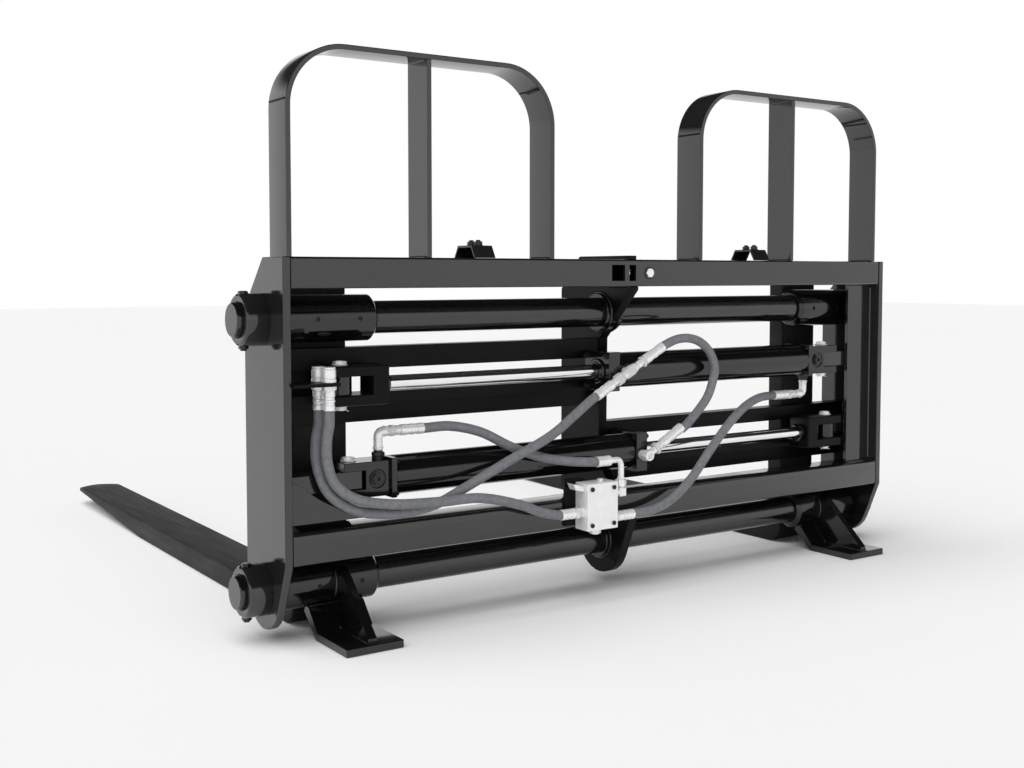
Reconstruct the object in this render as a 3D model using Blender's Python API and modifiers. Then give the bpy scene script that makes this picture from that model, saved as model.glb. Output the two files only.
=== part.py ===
"""Shaft-mounted pallet fork attachment with a hydraulic fork positioner.

Metres, +Z up.  X runs across the frame, +Y is the way the forks point, and the forks rest on Z = 0 at
their widest setting.  The sizes below count Y from the rear (machine) side of the frame.  The finished
attachment is moved back so that its origin is on the floor below the middle of its overall length.
"""
import math

import bmesh
import bpy
import numpy as np
from mathutils import Matrix, Vector

# Driving dimensions
FRAME_WIDTH = 2.134
FRAME_BOTTOM = 0.207
FRAME_TOP = 0.947
PLATE = 0.020
TUBE_HEIGHT = 0.0762
TUBE_DEPTH = 0.1016
TUBE_WALL = 0.008
SHAFT_Y = 0.140
SHAFT_RADIUS = 0.0425
SHAFT_OVERHANG = 0.074
UPPER_SHAFT_Z = 0.795
LOWER_SHAFT_Z = 0.129
SLEEVE_RADIUS = 0.060
COLLAR_RADIUS = 0.0645
CYLINDER_Y = 0.080
UPPER_CYLINDER_Z = 0.629
LOWER_CYLINDER_Z = 0.392
BARREL_RADIUS = 0.051
ROD_RADIUS = 0.019
FORK_X = 0.883
FORK_WIDTH = 0.154
FORK_THICKNESS = 0.060
FORK_REACH = 2.290
FOOT_REACH = 0.105
HOOP_TOP = 1.455
HOSE_RADIUS = 0.013
GAP = 0.0003

# Sizes that follow
HALF = FRAME_WIDTH / 2
INNER = HALF - PLATE - GAP
BOTTOM_TUBE_TOP = FRAME_BOTTOM + TUBE_HEIGHT
TOP_TUBE_BOTTOM = FRAME_TOP - TUBE_HEIGHT
SIDES = 28
LEFT = -1
RIGHT = 1
SIDE_NAMES = {LEFT: "left", RIGHT: "right"}
SHAFT_HEIGHTS = {"upper": UPPER_SHAFT_Z, "lower": LOWER_SHAFT_Z}
# The upper cylinder moves the left fork and is based at the right; the lower one is its mirror image.
CYLINDERS = {"upper": (UPPER_CYLINDER_Z, RIGHT), "lower": (LOWER_CYLINDER_Z, LEFT)}

# How a drawing plane lies in the world: its columns are the drawing's x, y and thickness directions
PLANES = {
    "YZ": Matrix(((0, 0, 1), (1, 0, 0), (0, 1, 0))).to_4x4(),
    "XZ": Matrix(((1, 0, 0), (0, 0, -1), (0, 1, 0))).to_4x4(),
    "XY": Matrix.Identity(4),
}
ALONG = {"X": "YZ", "Y": "XZ", "Z": "XY"}


def clear_scene():
    for thing in list(bpy.data.objects):
        bpy.data.objects.remove(thing, do_unlink=True)


def new_collection(name):
    collection = bpy.data.collections.new(name)
    bpy.context.scene.collection.children.link(collection)
    return collection


def finish_material(name, colour, roughness, metallic):
    """One Principled material for the object of this name."""
    material = bpy.data.materials.new(name + "_finish")
    material.use_nodes = True
    shader = material.node_tree.nodes["Principled BSDF"]
    shader.inputs["Base Color"].default_value = (*colour, 1.0)
    shader.inputs["Roughness"].default_value = roughness
    shader.inputs["Metallic"].default_value = metallic
    return material


FINISHES = {
    "paint": ((0.045, 0.046, 0.048), 0.38, 0.0),
    "forged": ((0.035, 0.033, 0.032), 0.50, 0.1),
    "blacked": ((0.030, 0.030, 0.031), 0.22, 0.1),
    "chrome": ((0.86, 0.86, 0.87), 0.10, 1.0),
    "zinc": ((0.74, 0.75, 0.77), 0.28, 1.0),
    "aluminium": ((0.82, 0.83, 0.84), 0.35, 1.0),
    "rubber": ((0.085, 0.088, 0.095), 0.70, 0.0),
}


def add_object(name, mesh, finish):
    """A part if it has a finish, and a hidden cutter or joining piece if it has none."""
    thing = bpy.data.objects.new(name, mesh)
    if finish:
        PARTS.objects.link(thing)
        mesh.materials.append(finish_material(name, *FINISHES[finish]))
    else:
        CUTTERS.objects.link(thing)
        thing.hide_render = True
        thing.display_type = "WIRE"
    return thing


def box(name, low, high, finish=None):
    low, high = Vector(low), Vector(high)
    shape = bmesh.new()
    bmesh.ops.create_cube(shape, size=1.0)
    bmesh.ops.scale(shape, vec=high - low, verts=shape.verts)
    mesh = bpy.data.meshes.new(name)
    shape.to_mesh(mesh)
    shape.free()
    thing = add_object(name, mesh, finish)
    thing.location = (low + high) / 2
    return thing


def rod(name, axis, start, end, across, radius, finish=None, sides=SIDES):
    """A cylinder along X, Y or Z from start to end, with its axis through the other two coordinates."""
    shape = bmesh.new()
    bmesh.ops.create_cone(shape, cap_ends=True, segments=sides, radius1=radius, radius2=radius,
                          depth=end - start)
    mesh = bpy.data.meshes.new(name)
    shape.to_mesh(mesh)
    shape.free()
    mesh.shade_smooth()
    mesh.set_sharp_from_angle(angle=math.radians(40))
    thing = add_object(name, mesh, finish)
    place = list(across)
    place.insert("XYZ".index(axis), (start + end) / 2)
    thing.matrix_world = Matrix.Translation(place) @ PLANES[ALONG[axis]]
    return thing


def turned(name, profile, place, direction, finish=None, sides=SIDES):
    """Turns (radius, height) points about an axis through place that points along direction."""
    on_axis = profile[0][0] == 0
    mesh = bpy.data.meshes.new(name)
    links = [(i, i + 1) for i in range(len(profile) - 1)]
    if not on_axis:
        links.append((len(profile) - 1, 0))
    mesh.from_pydata([(radius, 0, height) for radius, height in profile], links, [])
    thing = add_object(name, mesh, finish)
    turn = thing.modifiers.new("turn", "SCREW")
    turn.steps = turn.render_steps = sides
    turn.use_merge_vertices = True
    turn.merge_threshold = 0.00001
    turn.use_smooth_shade = True
    turn_to = Vector((0, 0, 1)).rotation_difference(Vector(direction)).to_matrix().to_4x4()
    thing.matrix_world = Matrix.Translation(place) @ turn_to
    return thing


def solid_profile(steps):
    """From (radius, height) steps listed from the top down, a profile closed on the axis."""
    return [(0, steps[0][1])] + list(steps) + [(0, steps[-1][1])]


def flat(name, outline, plane, low, high, finish=None):
    """A flat plate: an outline in the given plane, filled from low to high across it."""
    curve = bpy.data.curves.new(name, "CURVE")
    curve.dimensions = "2D"
    curve.fill_mode = "BOTH"
    curve.extrude = (high - low) / 2
    spline = curve.splines.new("POLY")
    spline.points.add(len(outline) - 1)
    for point, (x, y) in zip(spline.points, outline):
        point.co = (x, y, 0, 1)
    spline.use_cyclic_u = True
    middle = (low + high) / 2
    lift = Vector((0, 0, -middle if plane == "XZ" else middle))
    return curve_to_mesh(name, curve, PLANES[plane] @ Matrix.Translation(lift), finish)


def curve_to_mesh(name, curve, matrix, finish):
    source = bpy.data.objects.new(name + "_curve", curve)
    bpy.context.scene.collection.objects.link(source)
    bpy.context.view_layer.update()
    evaluated = source.evaluated_get(bpy.context.evaluated_depsgraph_get())
    mesh = bpy.data.meshes.new_from_object(evaluated)
    bpy.data.objects.remove(source, do_unlink=True)
    bpy.data.curves.remove(curve)
    shape = bmesh.new()
    shape.from_mesh(mesh)
    bmesh.ops.remove_doubles(shape, verts=shape.verts, dist=0.000001)
    bmesh.ops.recalc_face_normals(shape, faces=shape.faces)
    shape.to_mesh(mesh)
    shape.free()
    mesh.name = name
    thing = add_object(name, mesh, finish)
    thing.matrix_world = matrix
    return thing


def arc(centre, radius, start, end, steps):
    """Points of an arc, its angles in degrees."""
    angles = np.radians(np.linspace(start, end, steps + 1))
    return [(centre[0] + radius * math.cos(a), centre[1] + radius * math.sin(a)) for a in angles]


def boolean(thing, other, operation):
    step = thing.modifiers.new(operation.lower(), "BOOLEAN")
    step.operation = operation
    step.solver = "EXACT"
    step.object = other


def cut(thing, *cutters):
    for cutter in cutters:
        boolean(thing, cutter, "DIFFERENCE")


def join(thing, *others):
    for other in others:
        boolean(thing, other, "UNION")


def soften(thing, width, segments=1):
    """Breaks the sharp edges."""
    step = thing.modifiers.new("soften", "BEVEL")
    step.width = width
    step.segments = segments
    step.limit_method = "ANGLE"
    step.angle_limit = math.radians(40)


def shaft_bores(name, low, high):
    """Cutters for both shafts through whatever stands between low and high across the frame."""
    return [rod(f"{name}_{row}_bore", "X", low, high, (SHAFT_Y, z), SHAFT_RADIUS + GAP)
            for row, z in SHAFT_HEIGHTS.items()]


def sorted_pair(a, b):
    return (a, b) if a < b else (b, a)


# ---------------------------------------------------------------- frame
def nose(radius, angle_from, angle_to, steps):
    """The rounded lower end of a frame plate, about the lower shaft."""
    return arc((SHAFT_Y, LOWER_SHAFT_Z), radius, angle_from, angle_to, steps)


NOSE_RADIUS = 0.100
NOSE_REAR_ANGLE = -157.7
PLATE_FRONT = SHAFT_Y + NOSE_RADIUS
TONGUE_HALF = 0.0225
TONGUE_Y = (0.050, 0.110)
BASE_PIN_X = 0.862
BASE_TONGUE_END = 0.838
PIN_RADIUS = 0.016


def side_plate(side):
    """An end plate with both shaft bores and, welded inside, the tongue that a cylinder is pinned to."""
    outline = [(0, FRAME_TOP), (0, FRAME_BOTTOM)]
    outline += nose(NOSE_RADIUS, NOSE_REAR_ANGLE, 0, 12)
    outline += [(PLATE_FRONT, 0.823), (0.123, FRAME_TOP)]
    low, high = sorted_pair(side * (HALF - PLATE), side * HALF)
    name = "side_plate_" + SIDE_NAMES[side]
    plate = flat(name, outline, "YZ", low, high, "paint")
    soften(plate, 0.0015)
    height = next(z for z, base_side in CYLINDERS.values() if base_side == side)
    inside, outside = sorted_pair(side * BASE_TONGUE_END, side * (HALF - PLATE / 2))
    tongue = box(name + "_tongue", (inside, TONGUE_Y[0], height - TONGUE_HALF),
                 (outside, TONGUE_Y[1], height + TONGUE_HALF))
    join(plate, tongue)
    bore = rod(name + "_pin_bore", "Z", height - 0.05, height + 0.05, (side * BASE_PIN_X, CYLINDER_Y),
               PIN_RADIUS + GAP)
    cut(plate, bore, *shaft_bores(name, low - 0.01, high + 0.01))


CENTRE_HALF = 0.015
CENTRE_FRONT = 0.330
CENTRE_TOP = 0.958
BOSS_REACH = 0.027


def centre_plate():
    """The middle plate: it hooks over both frame tubes and stands back from the cylinders between them."""
    outline = [(0.010, CENTRE_TOP), (0.010, FRAME_TOP + GAP), (TUBE_DEPTH + GAP, FRAME_TOP + GAP),
               (TUBE_DEPTH + GAP, TOP_TUBE_BOTTOM - GAP), (0, TOP_TUBE_BOTTOM - GAP),
               (0, TOP_TUBE_BOTTOM - 0.010), (0.140, 0.719), (0.144, 0.360), (TUBE_DEPTH + GAP, 0.300),
               (TUBE_DEPTH + GAP, FRAME_BOTTOM - GAP), (0, FRAME_BOTTOM - GAP)]
    outline += nose(NOSE_RADIUS, NOSE_REAR_ANGLE, 0, 12)
    outline += [(CENTRE_FRONT, 0.260), (CENTRE_FRONT, 0.862), (0.240, CENTRE_TOP)]
    plate = flat("centre_plate", outline, "YZ", -CENTRE_HALF, CENTRE_HALF, "paint")
    soften(plate, 0.0015)
    bosses = [rod(f"centre_{row}_boss", "X", -BOSS_REACH, BOSS_REACH, (SHAFT_Y, z), 0.055)
              for row, z in SHAFT_HEIGHTS.items()]
    join(plate, *bosses)
    cut(plate, *shaft_bores("centre", -0.05, 0.05))


def frame_tube(name, bottom, top):
    """A hollow rectangular tube between the side plates, open at its ends."""
    tube = box(name, (-INNER, 0, bottom), (INNER, TUBE_DEPTH, top), "paint")
    soften(tube, 0.005, 2)
    core = box(name + "_core", (-HALF, TUBE_WALL, bottom + TUBE_WALL),
               (HALF, TUBE_DEPTH - TUBE_WALL, top - TUBE_WALL))
    cut(tube, core)
    return tube


def frame_tubes():
    top_tube = frame_tube("top_tube", TOP_TUBE_BOTTOM, FRAME_TOP)
    middle = (TOP_TUBE_BOTTOM + FRAME_TOP) / 2
    windows = [box(f"top_tube_window_{i}", (low, -0.01, middle - 0.0225), (high, TUBE_WALL + 0.002,
                                                                            middle + 0.0225))
               for i, (low, high) in enumerate([(-0.082, -0.035), (-0.019, 0.005)])]
    eye = rod("top_tube_eye", "Y", -0.01, TUBE_DEPTH + 0.01, (0.055, middle), 0.011, sides=24)
    cut(top_tube, eye, *windows)
    bottom_tube = frame_tube("bottom_tube", FRAME_BOTTOM, BOTTOM_TUBE_TOP)
    for x in (-0.6, 0.6):
        drain = rod(f"bottom_tube_drain_{x:+}", "Z", FRAME_BOTTOM - 0.01, FRAME_BOTTOM + TUBE_WALL + 0.002,
                    (x, TUBE_DEPTH / 2), 0.006, sides=16)
        cut(bottom_tube, drain)


def corner_plates():
    """The upright inside the right end plate and the curved gusset inside the left one."""
    box("upright_right", (0.939, 0.036, BOTTOM_TUBE_TOP + GAP), (INNER, 0.048, TOP_TUBE_BOTTOM - GAP), "paint")
    sweep = arc((-0.800, 0.620), 0.310, -110, -134, 6)
    outline = [(-INNER, 0.302), (-0.844, 0.302), (-0.844, 0.316)] + sweep + [(-INNER, 0.409)]
    flat("gusset_left", outline, "XZ", 0.020, 0.032, "paint")


RAIL_Y = (0.145, 0.190)
RAIL_WALL = 0.010
# Heights of each rail pair above its cylinder's axis: the angle's two edges, then the channel's top edge,
# its rear lip's end and its front lip's end
RAIL_HEIGHTS = {"upper": (0.033, 0.090, -0.029, -0.060, -0.108), "lower": (0.036, 0.080, -0.030, -0.054, -0.103)}


def guide_rails():
    """Above and below each fork tongue, from its end plate to the centre plate."""
    rear, front = RAIL_Y
    for row, (height, base_side) in CYLINDERS.items():
        low, high = sorted_pair(-base_side * INNER, -base_side * (CENTRE_HALF + GAP))
        top_low, top_high, bottom_high, lip, bottom_low = [height + rise for rise in RAIL_HEIGHTS[row]]
        angle = [(rear, top_low), (rear + RAIL_WALL, top_low), (rear + RAIL_WALL, top_high - RAIL_WALL),
                 (front, top_high - RAIL_WALL), (front, top_high), (rear, top_high)]
        flat(f"{row}_rail_top", angle, "YZ", low, high, "paint")
        channel = [(rear, lip), (rear + RAIL_WALL, lip), (rear + RAIL_WALL, bottom_high - RAIL_WALL),
                   (front - RAIL_WALL, bottom_high - RAIL_WALL), (front - RAIL_WALL, bottom_low),
                   (front, bottom_low), (front, bottom_high), (rear, bottom_high)]
        flat(f"{row}_rail_bottom", channel, "YZ", low, high, "paint")


HOOP_BAR = 0.013
HOOP_CORNER = 0.155
HOOP_SPANS = {LEFT: (-1.056, -0.280), RIGHT: (0.246, 1.024)}


def guard_hoops():
    """Flat-bar hoops on the top tube, each with a strut in the middle."""
    base = FRAME_TOP + GAP
    for side in (LEFT, RIGHT):
        low, high = HOOP_SPANS[side]
        turn_z = HOOP_TOP - HOOP_CORNER
        inner_corner = HOOP_CORNER - HOOP_BAR
        outer = [(low, base)] + arc((low + HOOP_CORNER, turn_z), HOOP_CORNER, 180, 90, 8)
        outer += arc((high - HOOP_CORNER, turn_z), HOOP_CORNER, 90, 0, 8) + [(high, base)]
        inner = [(high - HOOP_BAR, base)] + arc((high - HOOP_CORNER, turn_z), inner_corner, 0, 90, 8)
        inner += arc((low + HOOP_CORNER, turn_z), inner_corner, 90, 180, 8) + [(low + HOOP_BAR, base)]
        name = "guard_hoop_" + SIDE_NAMES[side]
        hoop = flat(name, outer + inner, "XZ", 0, TUBE_DEPTH, "paint")
        middle = (low + high) / 2
        strut = box(name + "_strut", (middle - HOOP_BAR / 2, 0, base),
                    (middle + HOOP_BAR / 2, TUBE_DEPTH, HOOP_TOP - HOOP_BAR / 2))
        join(hoop, strut)


def saddle_clips():
    """Hat-shaped clips over the top tube."""
    base = FRAME_TOP + GAP
    outline = [(-0.002, base), (0.005, base), (0.0205, base + 0.027), (0.0811, base + 0.027),
               (0.0966, base), (0.1036, base), (0.0851, base + 0.033), (0.0165, base + 0.033)]
    for side in (LEFT, RIGHT):
        flat("saddle_clip_" + SIDE_NAMES[side], outline, "YZ", side * 0.503 - 0.032, side * 0.503 + 0.032,
             "paint")


# ---------------------------------------------------------------- shafts
COLLAR_LENGTH = 0.058
COLLAR_BOLT_AT = 0.043
COLLAR_SEAT = 0.058
BOLT_RADIUS = 0.008


def bolt_places():
    for row, z in SHAFT_HEIGHTS.items():
        for side in (LEFT, RIGHT):
            yield row, side, side * (HALF + COLLAR_BOLT_AT), z


def shafts():
    """Two through shafts, each pinned in a collar at both ends by a cross bolt."""
    reach = HALF + SHAFT_OVERHANG
    for row, z in SHAFT_HEIGHTS.items():
        edge = 0.003
        profile = solid_profile([(SHAFT_RADIUS - edge, reach), (SHAFT_RADIUS, reach - edge),
                                 (SHAFT_RADIUS, edge - reach), (SHAFT_RADIUS - edge, -reach)])
        shaft = turned(row + "_shaft", profile, (0, SHAFT_Y, z), (1, 0, 0), "blacked")
        for side in (LEFT, RIGHT):
            name = f"{row}_shaft_{SIDE_NAMES[side]}_bolt_bore"
            bore = rod(name, "Z", z - 0.1, z + 0.1, (side * (HALF + COLLAR_BOLT_AT), SHAFT_Y),
                       BOLT_RADIUS + GAP, sides=16)
            cut(shaft, bore)


def collars():
    for row, side, x, z in bolt_places():
        name = f"{row}_collar_{SIDE_NAMES[side]}"
        profile = solid_profile([(COLLAR_RADIUS - 0.004, COLLAR_LENGTH),
                                 (COLLAR_RADIUS, COLLAR_LENGTH - 0.004), (COLLAR_RADIUS, 0)])
        collar = turned(name, profile, (side * (HALF + GAP), SHAFT_Y, z), (side, 0, 0), "paint")
        seats = [rod(f"{name}_seat_{end}", "Z", z + low, z + high, (x, SHAFT_Y), 0.018, sides=24)
                 for end, low, high in (("top", COLLAR_SEAT, 0.08), ("bottom", -0.08, -COLLAR_SEAT))]
        hole = rod(name + "_bolt_bore", "Z", z - 0.1, z + 0.1, (x, SHAFT_Y), BOLT_RADIUS + GAP, sides=16)
        shaft_hole = rod(name + "_bore", "X", *sorted_pair(side * (HALF - 0.01), side * (HALF + 0.10)),
                         (SHAFT_Y, z), SHAFT_RADIUS + GAP)
        cut(collar, shaft_hole, hole, *seats)


def collar_bolts():
    for row, side, x, z in bolt_places():
        seat = COLLAR_SEAT + GAP
        profile = solid_profile([(0.0135, seat + 0.010), (0.0135, seat), (BOLT_RADIUS, seat),
                                 (BOLT_RADIUS, -seat), (0.0135, -seat), (0.0135, -seat - 0.013),
                                 (BOLT_RADIUS, -seat - 0.013), (BOLT_RADIUS, -seat - 0.019)])
        turned(f"{row}_collar_bolt_{SIDE_NAMES[side]}", profile, (x, SHAFT_Y, z), (0, 0, 1), "zinc", sides=18)


# ---------------------------------------------------------------- forks
HEEL_RADIUS = 0.060
INNER_FILLET = 0.030
BLADE_TOP = 0.0635
SHANK_REAR = SHAFT_Y + SLEEVE_RADIUS + GAP
SHANK_FRONT = SHANK_REAR + FORK_THICKNESS
SHANK_TOP = 0.885
TAPER_START = 1.490
TIP_THICKNESS = 0.012
TIP_BOW = 0.040
SLEEVE_OUTER_END = 1.036
SLEEVE_INNER_END = 0.769


def sleeve_cutters(name, x, width):
    low, high = x - width, x + width
    return [rod(f"{name}_{row}_hollow", "X", low, high, (SHAFT_Y, z), SLEEVE_RADIUS + GAP)
            for row, z in SHAFT_HEIGHTS.items()]


def fork(side):
    """A forged L with a tapering blade, and a saddle to weld it to each sleeve."""
    name = "fork_" + SIDE_NAMES[side]
    x = side * FORK_X
    half = FORK_WIDTH / 2
    outline = [(SHANK_REAR, SHANK_TOP)]
    outline += arc((SHANK_REAR + HEEL_RADIUS, HEEL_RADIUS), HEEL_RADIUS, 180, 270, 8)
    outline += [(TAPER_START, 0), (FORK_REACH, BLADE_TOP - TIP_THICKNESS), (FORK_REACH, BLADE_TOP)]
    outline += arc((SHANK_FRONT + INNER_FILLET, BLADE_TOP + INNER_FILLET), INNER_FILLET, 270, 180, 6)
    outline += [(SHANK_FRONT, SHANK_TOP)]
    body = flat(name, outline, "YZ", x - half, x + half, "forged")
    soften(body, 0.003)
    for row, z in SHAFT_HEIGHTS.items():
        saddle = box(f"{name}_{row}_saddle", (x - half + 0.006, SHAFT_Y + 0.030, z - 0.045),
                     (x + half - 0.006, SHANK_REAR + 0.004, z + 0.045))
        join(body, saddle)
    tip_radius = (half ** 2 + TIP_BOW ** 2) / (2 * TIP_BOW)
    spread = math.degrees(math.asin(half / tip_radius))
    tip = arc((x, FORK_REACH - tip_radius), tip_radius, 90 - spread, 90 + spread, 12)
    plan = flat(name + "_plan", [(x - half, 0.1), (x + half, 0.1)] + tip, "XY", -0.1, 1.0)
    cut(body, *sleeve_cutters(name, x, 0.2))
    boolean(body, plan, "INTERSECT")


def sleeves(side):
    """The two tubes that carry a fork on the shafts."""
    start, end = SLEEVE_INNER_END, SLEEVE_OUTER_END
    bore = SHAFT_RADIUS + 0.0007
    edge = 0.006
    profile = [(SLEEVE_RADIUS - edge, end), (SLEEVE_RADIUS, end - edge), (SLEEVE_RADIUS, start + edge),
               (SLEEVE_RADIUS - edge, start), (bore, start), (bore, end)]
    for row, z in SHAFT_HEIGHTS.items():
        name = f"{row}_sleeve_{SIDE_NAMES[side]}"
        sleeve = turned(name, profile, (0, SHAFT_Y, z), (side, 0, 0), "paint")
        for i, x in enumerate((0.828, 0.943)):
            hole = rod(f"{name}_grease_{i}", "Y", SHAFT_Y - 0.08, SHAFT_Y - SHAFT_RADIUS + 0.002,
                       (side * x, z + 0.012), 0.0055, sides=12)
            cut(sleeve, hole)


def fork_lug(side):
    """The tongue behind the shank that takes the rod pin."""
    height = CYLINDERS["upper" if side == LEFT else "lower"][0]
    x = side * FORK_X
    radius = 0.030
    end = SHANK_REAR - GAP
    outline = [(x + radius, end)] + arc((x, CYLINDER_Y), radius, 0, -180, 10) + [(x - radius, end)]
    name = "fork_lug_" + SIDE_NAMES[side]
    lug = flat(name, outline, "XY", height - TONGUE_HALF, height + TONGUE_HALF, "paint")
    cut(lug, rod(name + "_bore", "Z", height - 0.05, height + 0.05, (x, CYLINDER_Y), PIN_RADIUS + GAP))


def stand_foot(side):
    """The bent foot behind the heel that stands the frame level, with its web up to the lower sleeve."""
    name = "stand_foot_" + SIDE_NAMES[side]
    x = side * FORK_X
    half = FORK_WIDTH / 2
    bend = [(0.136, 0.060), (0.130, 0.074), (0.108, 0.074), (0.058, 0.020), (-FOOT_REACH, 0.020),
            (-FOOT_REACH, 0), (0.066, 0)]
    foot = flat(name, bend, "YZ", x - half, x + half, "paint")
    soften(foot, 0.0015)
    web = [(0.088, 0.178), (0.060, 0.166), (-0.088, 0.030), (-0.088, 0.010), (0.070, 0.010), (0.120, 0.060),
           (0.120, 0.120)]
    join(foot, flat(name + "_web", web, "YZ", x - 0.012, x + 0.012))
    cut(foot, rod(name + "_hollow", "X", x - 0.2, x + 0.2, (SHAFT_Y, LOWER_SHAFT_Z), SLEEVE_RADIUS + GAP))


# ---------------------------------------------------------------- hydraulics
GLAND_X = (0.031, 0.071)
BARREL_END = 0.7495
CAP_START = 0.705
BASE_HALF = 0.045
CLEVIS_HALF = 0.050
CLEVIS_Y = (0.040, 0.120)
PORT_X = 0.777
PORT_HALF = 0.0165
# The upper cylinder's base port faces down and the lower one's faces up
PORT_SIDES = {"upper": -1, "lower": 1}
SLOT_HALF = TONGUE_HALF + 0.0007


def clevis_outline(root, slot, end, height, half):
    """A U in the XZ plane: solid from root to slot, then two cheeks to its end."""
    return [(root, height - half), (end, height - half), (end, height - SLOT_HALF),
            (slot, height - SLOT_HALF), (slot, height + SLOT_HALF), (end, height + SLOT_HALF),
            (end, height + half), (root, height + half)]


def cylinder_barrel(row):
    """The barrel with its base cap and base clevis."""
    height, side = CYLINDERS[row]
    bore = 0.0445
    profile = [(0, BARREL_END), (BARREL_RADIUS, BARREL_END), (BARREL_RADIUS, -GLAND_X[0] + GAP),
               (bore, -GLAND_X[0] + GAP), (bore, CAP_START), (0, CAP_START)]
    name = row + "_barrel"
    barrel = turned(name, profile, (0, CYLINDER_Y, height), (side, 0, 0), "paint")
    outline = clevis_outline(side * (CAP_START + 0.01), side * 0.832, side * 0.892, height, BASE_HALF)
    port = sorted([height + PORT_SIDES[row] * 0.040, height + PORT_SIDES[row] * 0.130])
    elbow = box(name + "_port", (side * PORT_X - PORT_HALF, CYLINDER_Y - PORT_HALF, port[0]),
                (side * PORT_X + PORT_HALF, CYLINDER_Y + PORT_HALF, port[1]))
    near, far = sorted_pair(side * (BARREL_END - 0.0005), side * (BARREL_END + 0.0145))
    flange = box(name + "_flange", (near, CYLINDER_Y - BARREL_RADIUS, height - BARREL_RADIUS),
                 (far, CYLINDER_Y + BARREL_RADIUS, height + BARREL_RADIUS))
    join(barrel, flat(name + "_clevis", outline, "XZ", *CLEVIS_Y), flange, elbow)
    cut(barrel, rod(name + "_pin_bore", "Z", height - 0.1, height + 0.1, (side * BASE_PIN_X, CYLINDER_Y),
                    PIN_RADIUS + GAP))


def cylinder_gland(row):
    height, side = CYLINDERS[row]
    bore = ROD_RADIUS + 0.0005
    profile = solid_profile([(0.0441, 0), (0.0441, -GLAND_X[1] + 0.010)])
    name = row + "_gland"
    gland = turned(name, profile, (0, CYLINDER_Y, height), (side, 0, 0), "paint")
    near, far = sorted_pair(-side * (GLAND_X[0] + 0.0005), -side * GLAND_X[1])
    join(gland, box(name + "_square", (near, CYLINDER_Y - 0.056, height - 0.056),
                    (far, CYLINDER_Y + 0.056, height + 0.056)))
    cut(gland, rod(name + "_bore", "X", near - 0.05, far + 0.05, (CYLINDER_Y, height), bore))
    if row == "lower":
        join(gland, box(name + "_port", (GLAND_X[0] + 0.005, -0.004, height - 0.014),
                        (GLAND_X[1] - 0.005, 0.040, height + 0.018)))


def cylinder_rod(row):
    """The chromed rod with its piston, fully run out."""
    height, side = CYLINDERS[row]
    profile = solid_profile([(0.0440, 0.031), (0.0440, 0.001), (ROD_RADIUS, 0.001), (ROD_RADIUS, -0.7627)])
    turned(row + "_rod", profile, (0, CYLINDER_Y, height), (side, 0, 0), "chrome")


def rod_clevis(row):
    height, side = CYLINDERS[row]
    outline = clevis_outline(-side * 0.763, -side * 0.808, -side * 0.920, height,
                             CLEVIS_HALF)
    name = row + "_rod_clevis"
    clevis = flat(name, outline, "XZ", *CLEVIS_Y, "paint")
    soften(clevis, 0.003)
    cut(clevis, rod(name + "_bore", "Z", height - 0.1, height + 0.1, (-side * FORK_X, CYLINDER_Y),
                    PIN_RADIUS + GAP))


def clevis_pins():
    """A headed pin through each clevis, with a nut below."""
    for row, (height, side) in CYLINDERS.items():
        for end, x, half in (("base", side * BASE_PIN_X, BASE_HALF), ("rod", -side * FORK_X, CLEVIS_HALF)):
            face = half + GAP
            profile = solid_profile([(0.021, face + 0.010), (0.021, face), (PIN_RADIUS, face),
                                     (PIN_RADIUS, -face), (0.021, -face), (0.021, -face - 0.012)])
            turned(f"{row}_{end}_pin", profile, (x, CYLINDER_Y, height), (0, 0, 1), "zinc", sides=24)


VALVE_LOW = (-0.215, -0.066, 0.190)
VALVE_HIGH = (-0.110, -0.0086, 0.335)
PORT_Y = -0.040
ELBOW_X = -0.079
COUPLERS = ((-0.948, 0.005), (-0.959, 0.0405))
TEE_CENTRE = Vector((-0.014, 0.005, 0.629))
TEE_SLOPE = Vector((0.880, 0, 0.475)).normalized()
TEE_HALF = 0.070


def flow_divider():
    valve = box("flow_divider", VALVE_LOW, VALVE_HIGH, "aluminium")
    soften(valve, 0.002, 2)
    outline = [(-0.250, 0.215), (-0.100, 0.215), (-0.100, 0.300), (-0.190, 0.345), (-0.250, 0.345)]
    flat("valve_bracket", outline, "XZ", VALVE_HIGH[1] + GAP, -GAP, "paint")
    elbow = rod("valve_elbow", "Z", 0.286, 0.343, (ELBOW_X, PORT_Y), 0.0125, "zinc", sides=20)
    join(elbow, rod("valve_elbow_arm", "X", VALVE_HIGH[0] + GAP, ELBOW_X, (PORT_Y, 0.300), 0.0115, sides=20))


def couplers():
    """Two quick couplers through a bracket inside the left end plate."""
    plate_low, plate_high = 0.636, 0.644
    bracket = box("coupler_bracket", (-INNER, -0.016, plate_low), (-0.926, 0.062, plate_high), "paint")
    profile = solid_profile([(0.0140, 0.682), (0.0170, 0.679), (0.0170, 0.656), (0.0180, 0.654),
                             (0.0180, plate_high + GAP), (0.0120, plate_high + GAP), (0.0120, plate_low - GAP),
                             (0.0180, plate_low - GAP), (0.0180, 0.630), (0.0165, 0.626), (0.0165, 0.576)])
    for i, across in enumerate(COUPLERS):
        hole = rod(f"coupler_hole_{i}", "Z", plate_low - 0.01, plate_high + 0.01, across, 0.0123, sides=24)
        cut(bracket, hole)
        turned(f"coupler_{i + 1}", profile, (*across, 0), (0, 0, 1), "zinc", sides=24)


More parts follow.
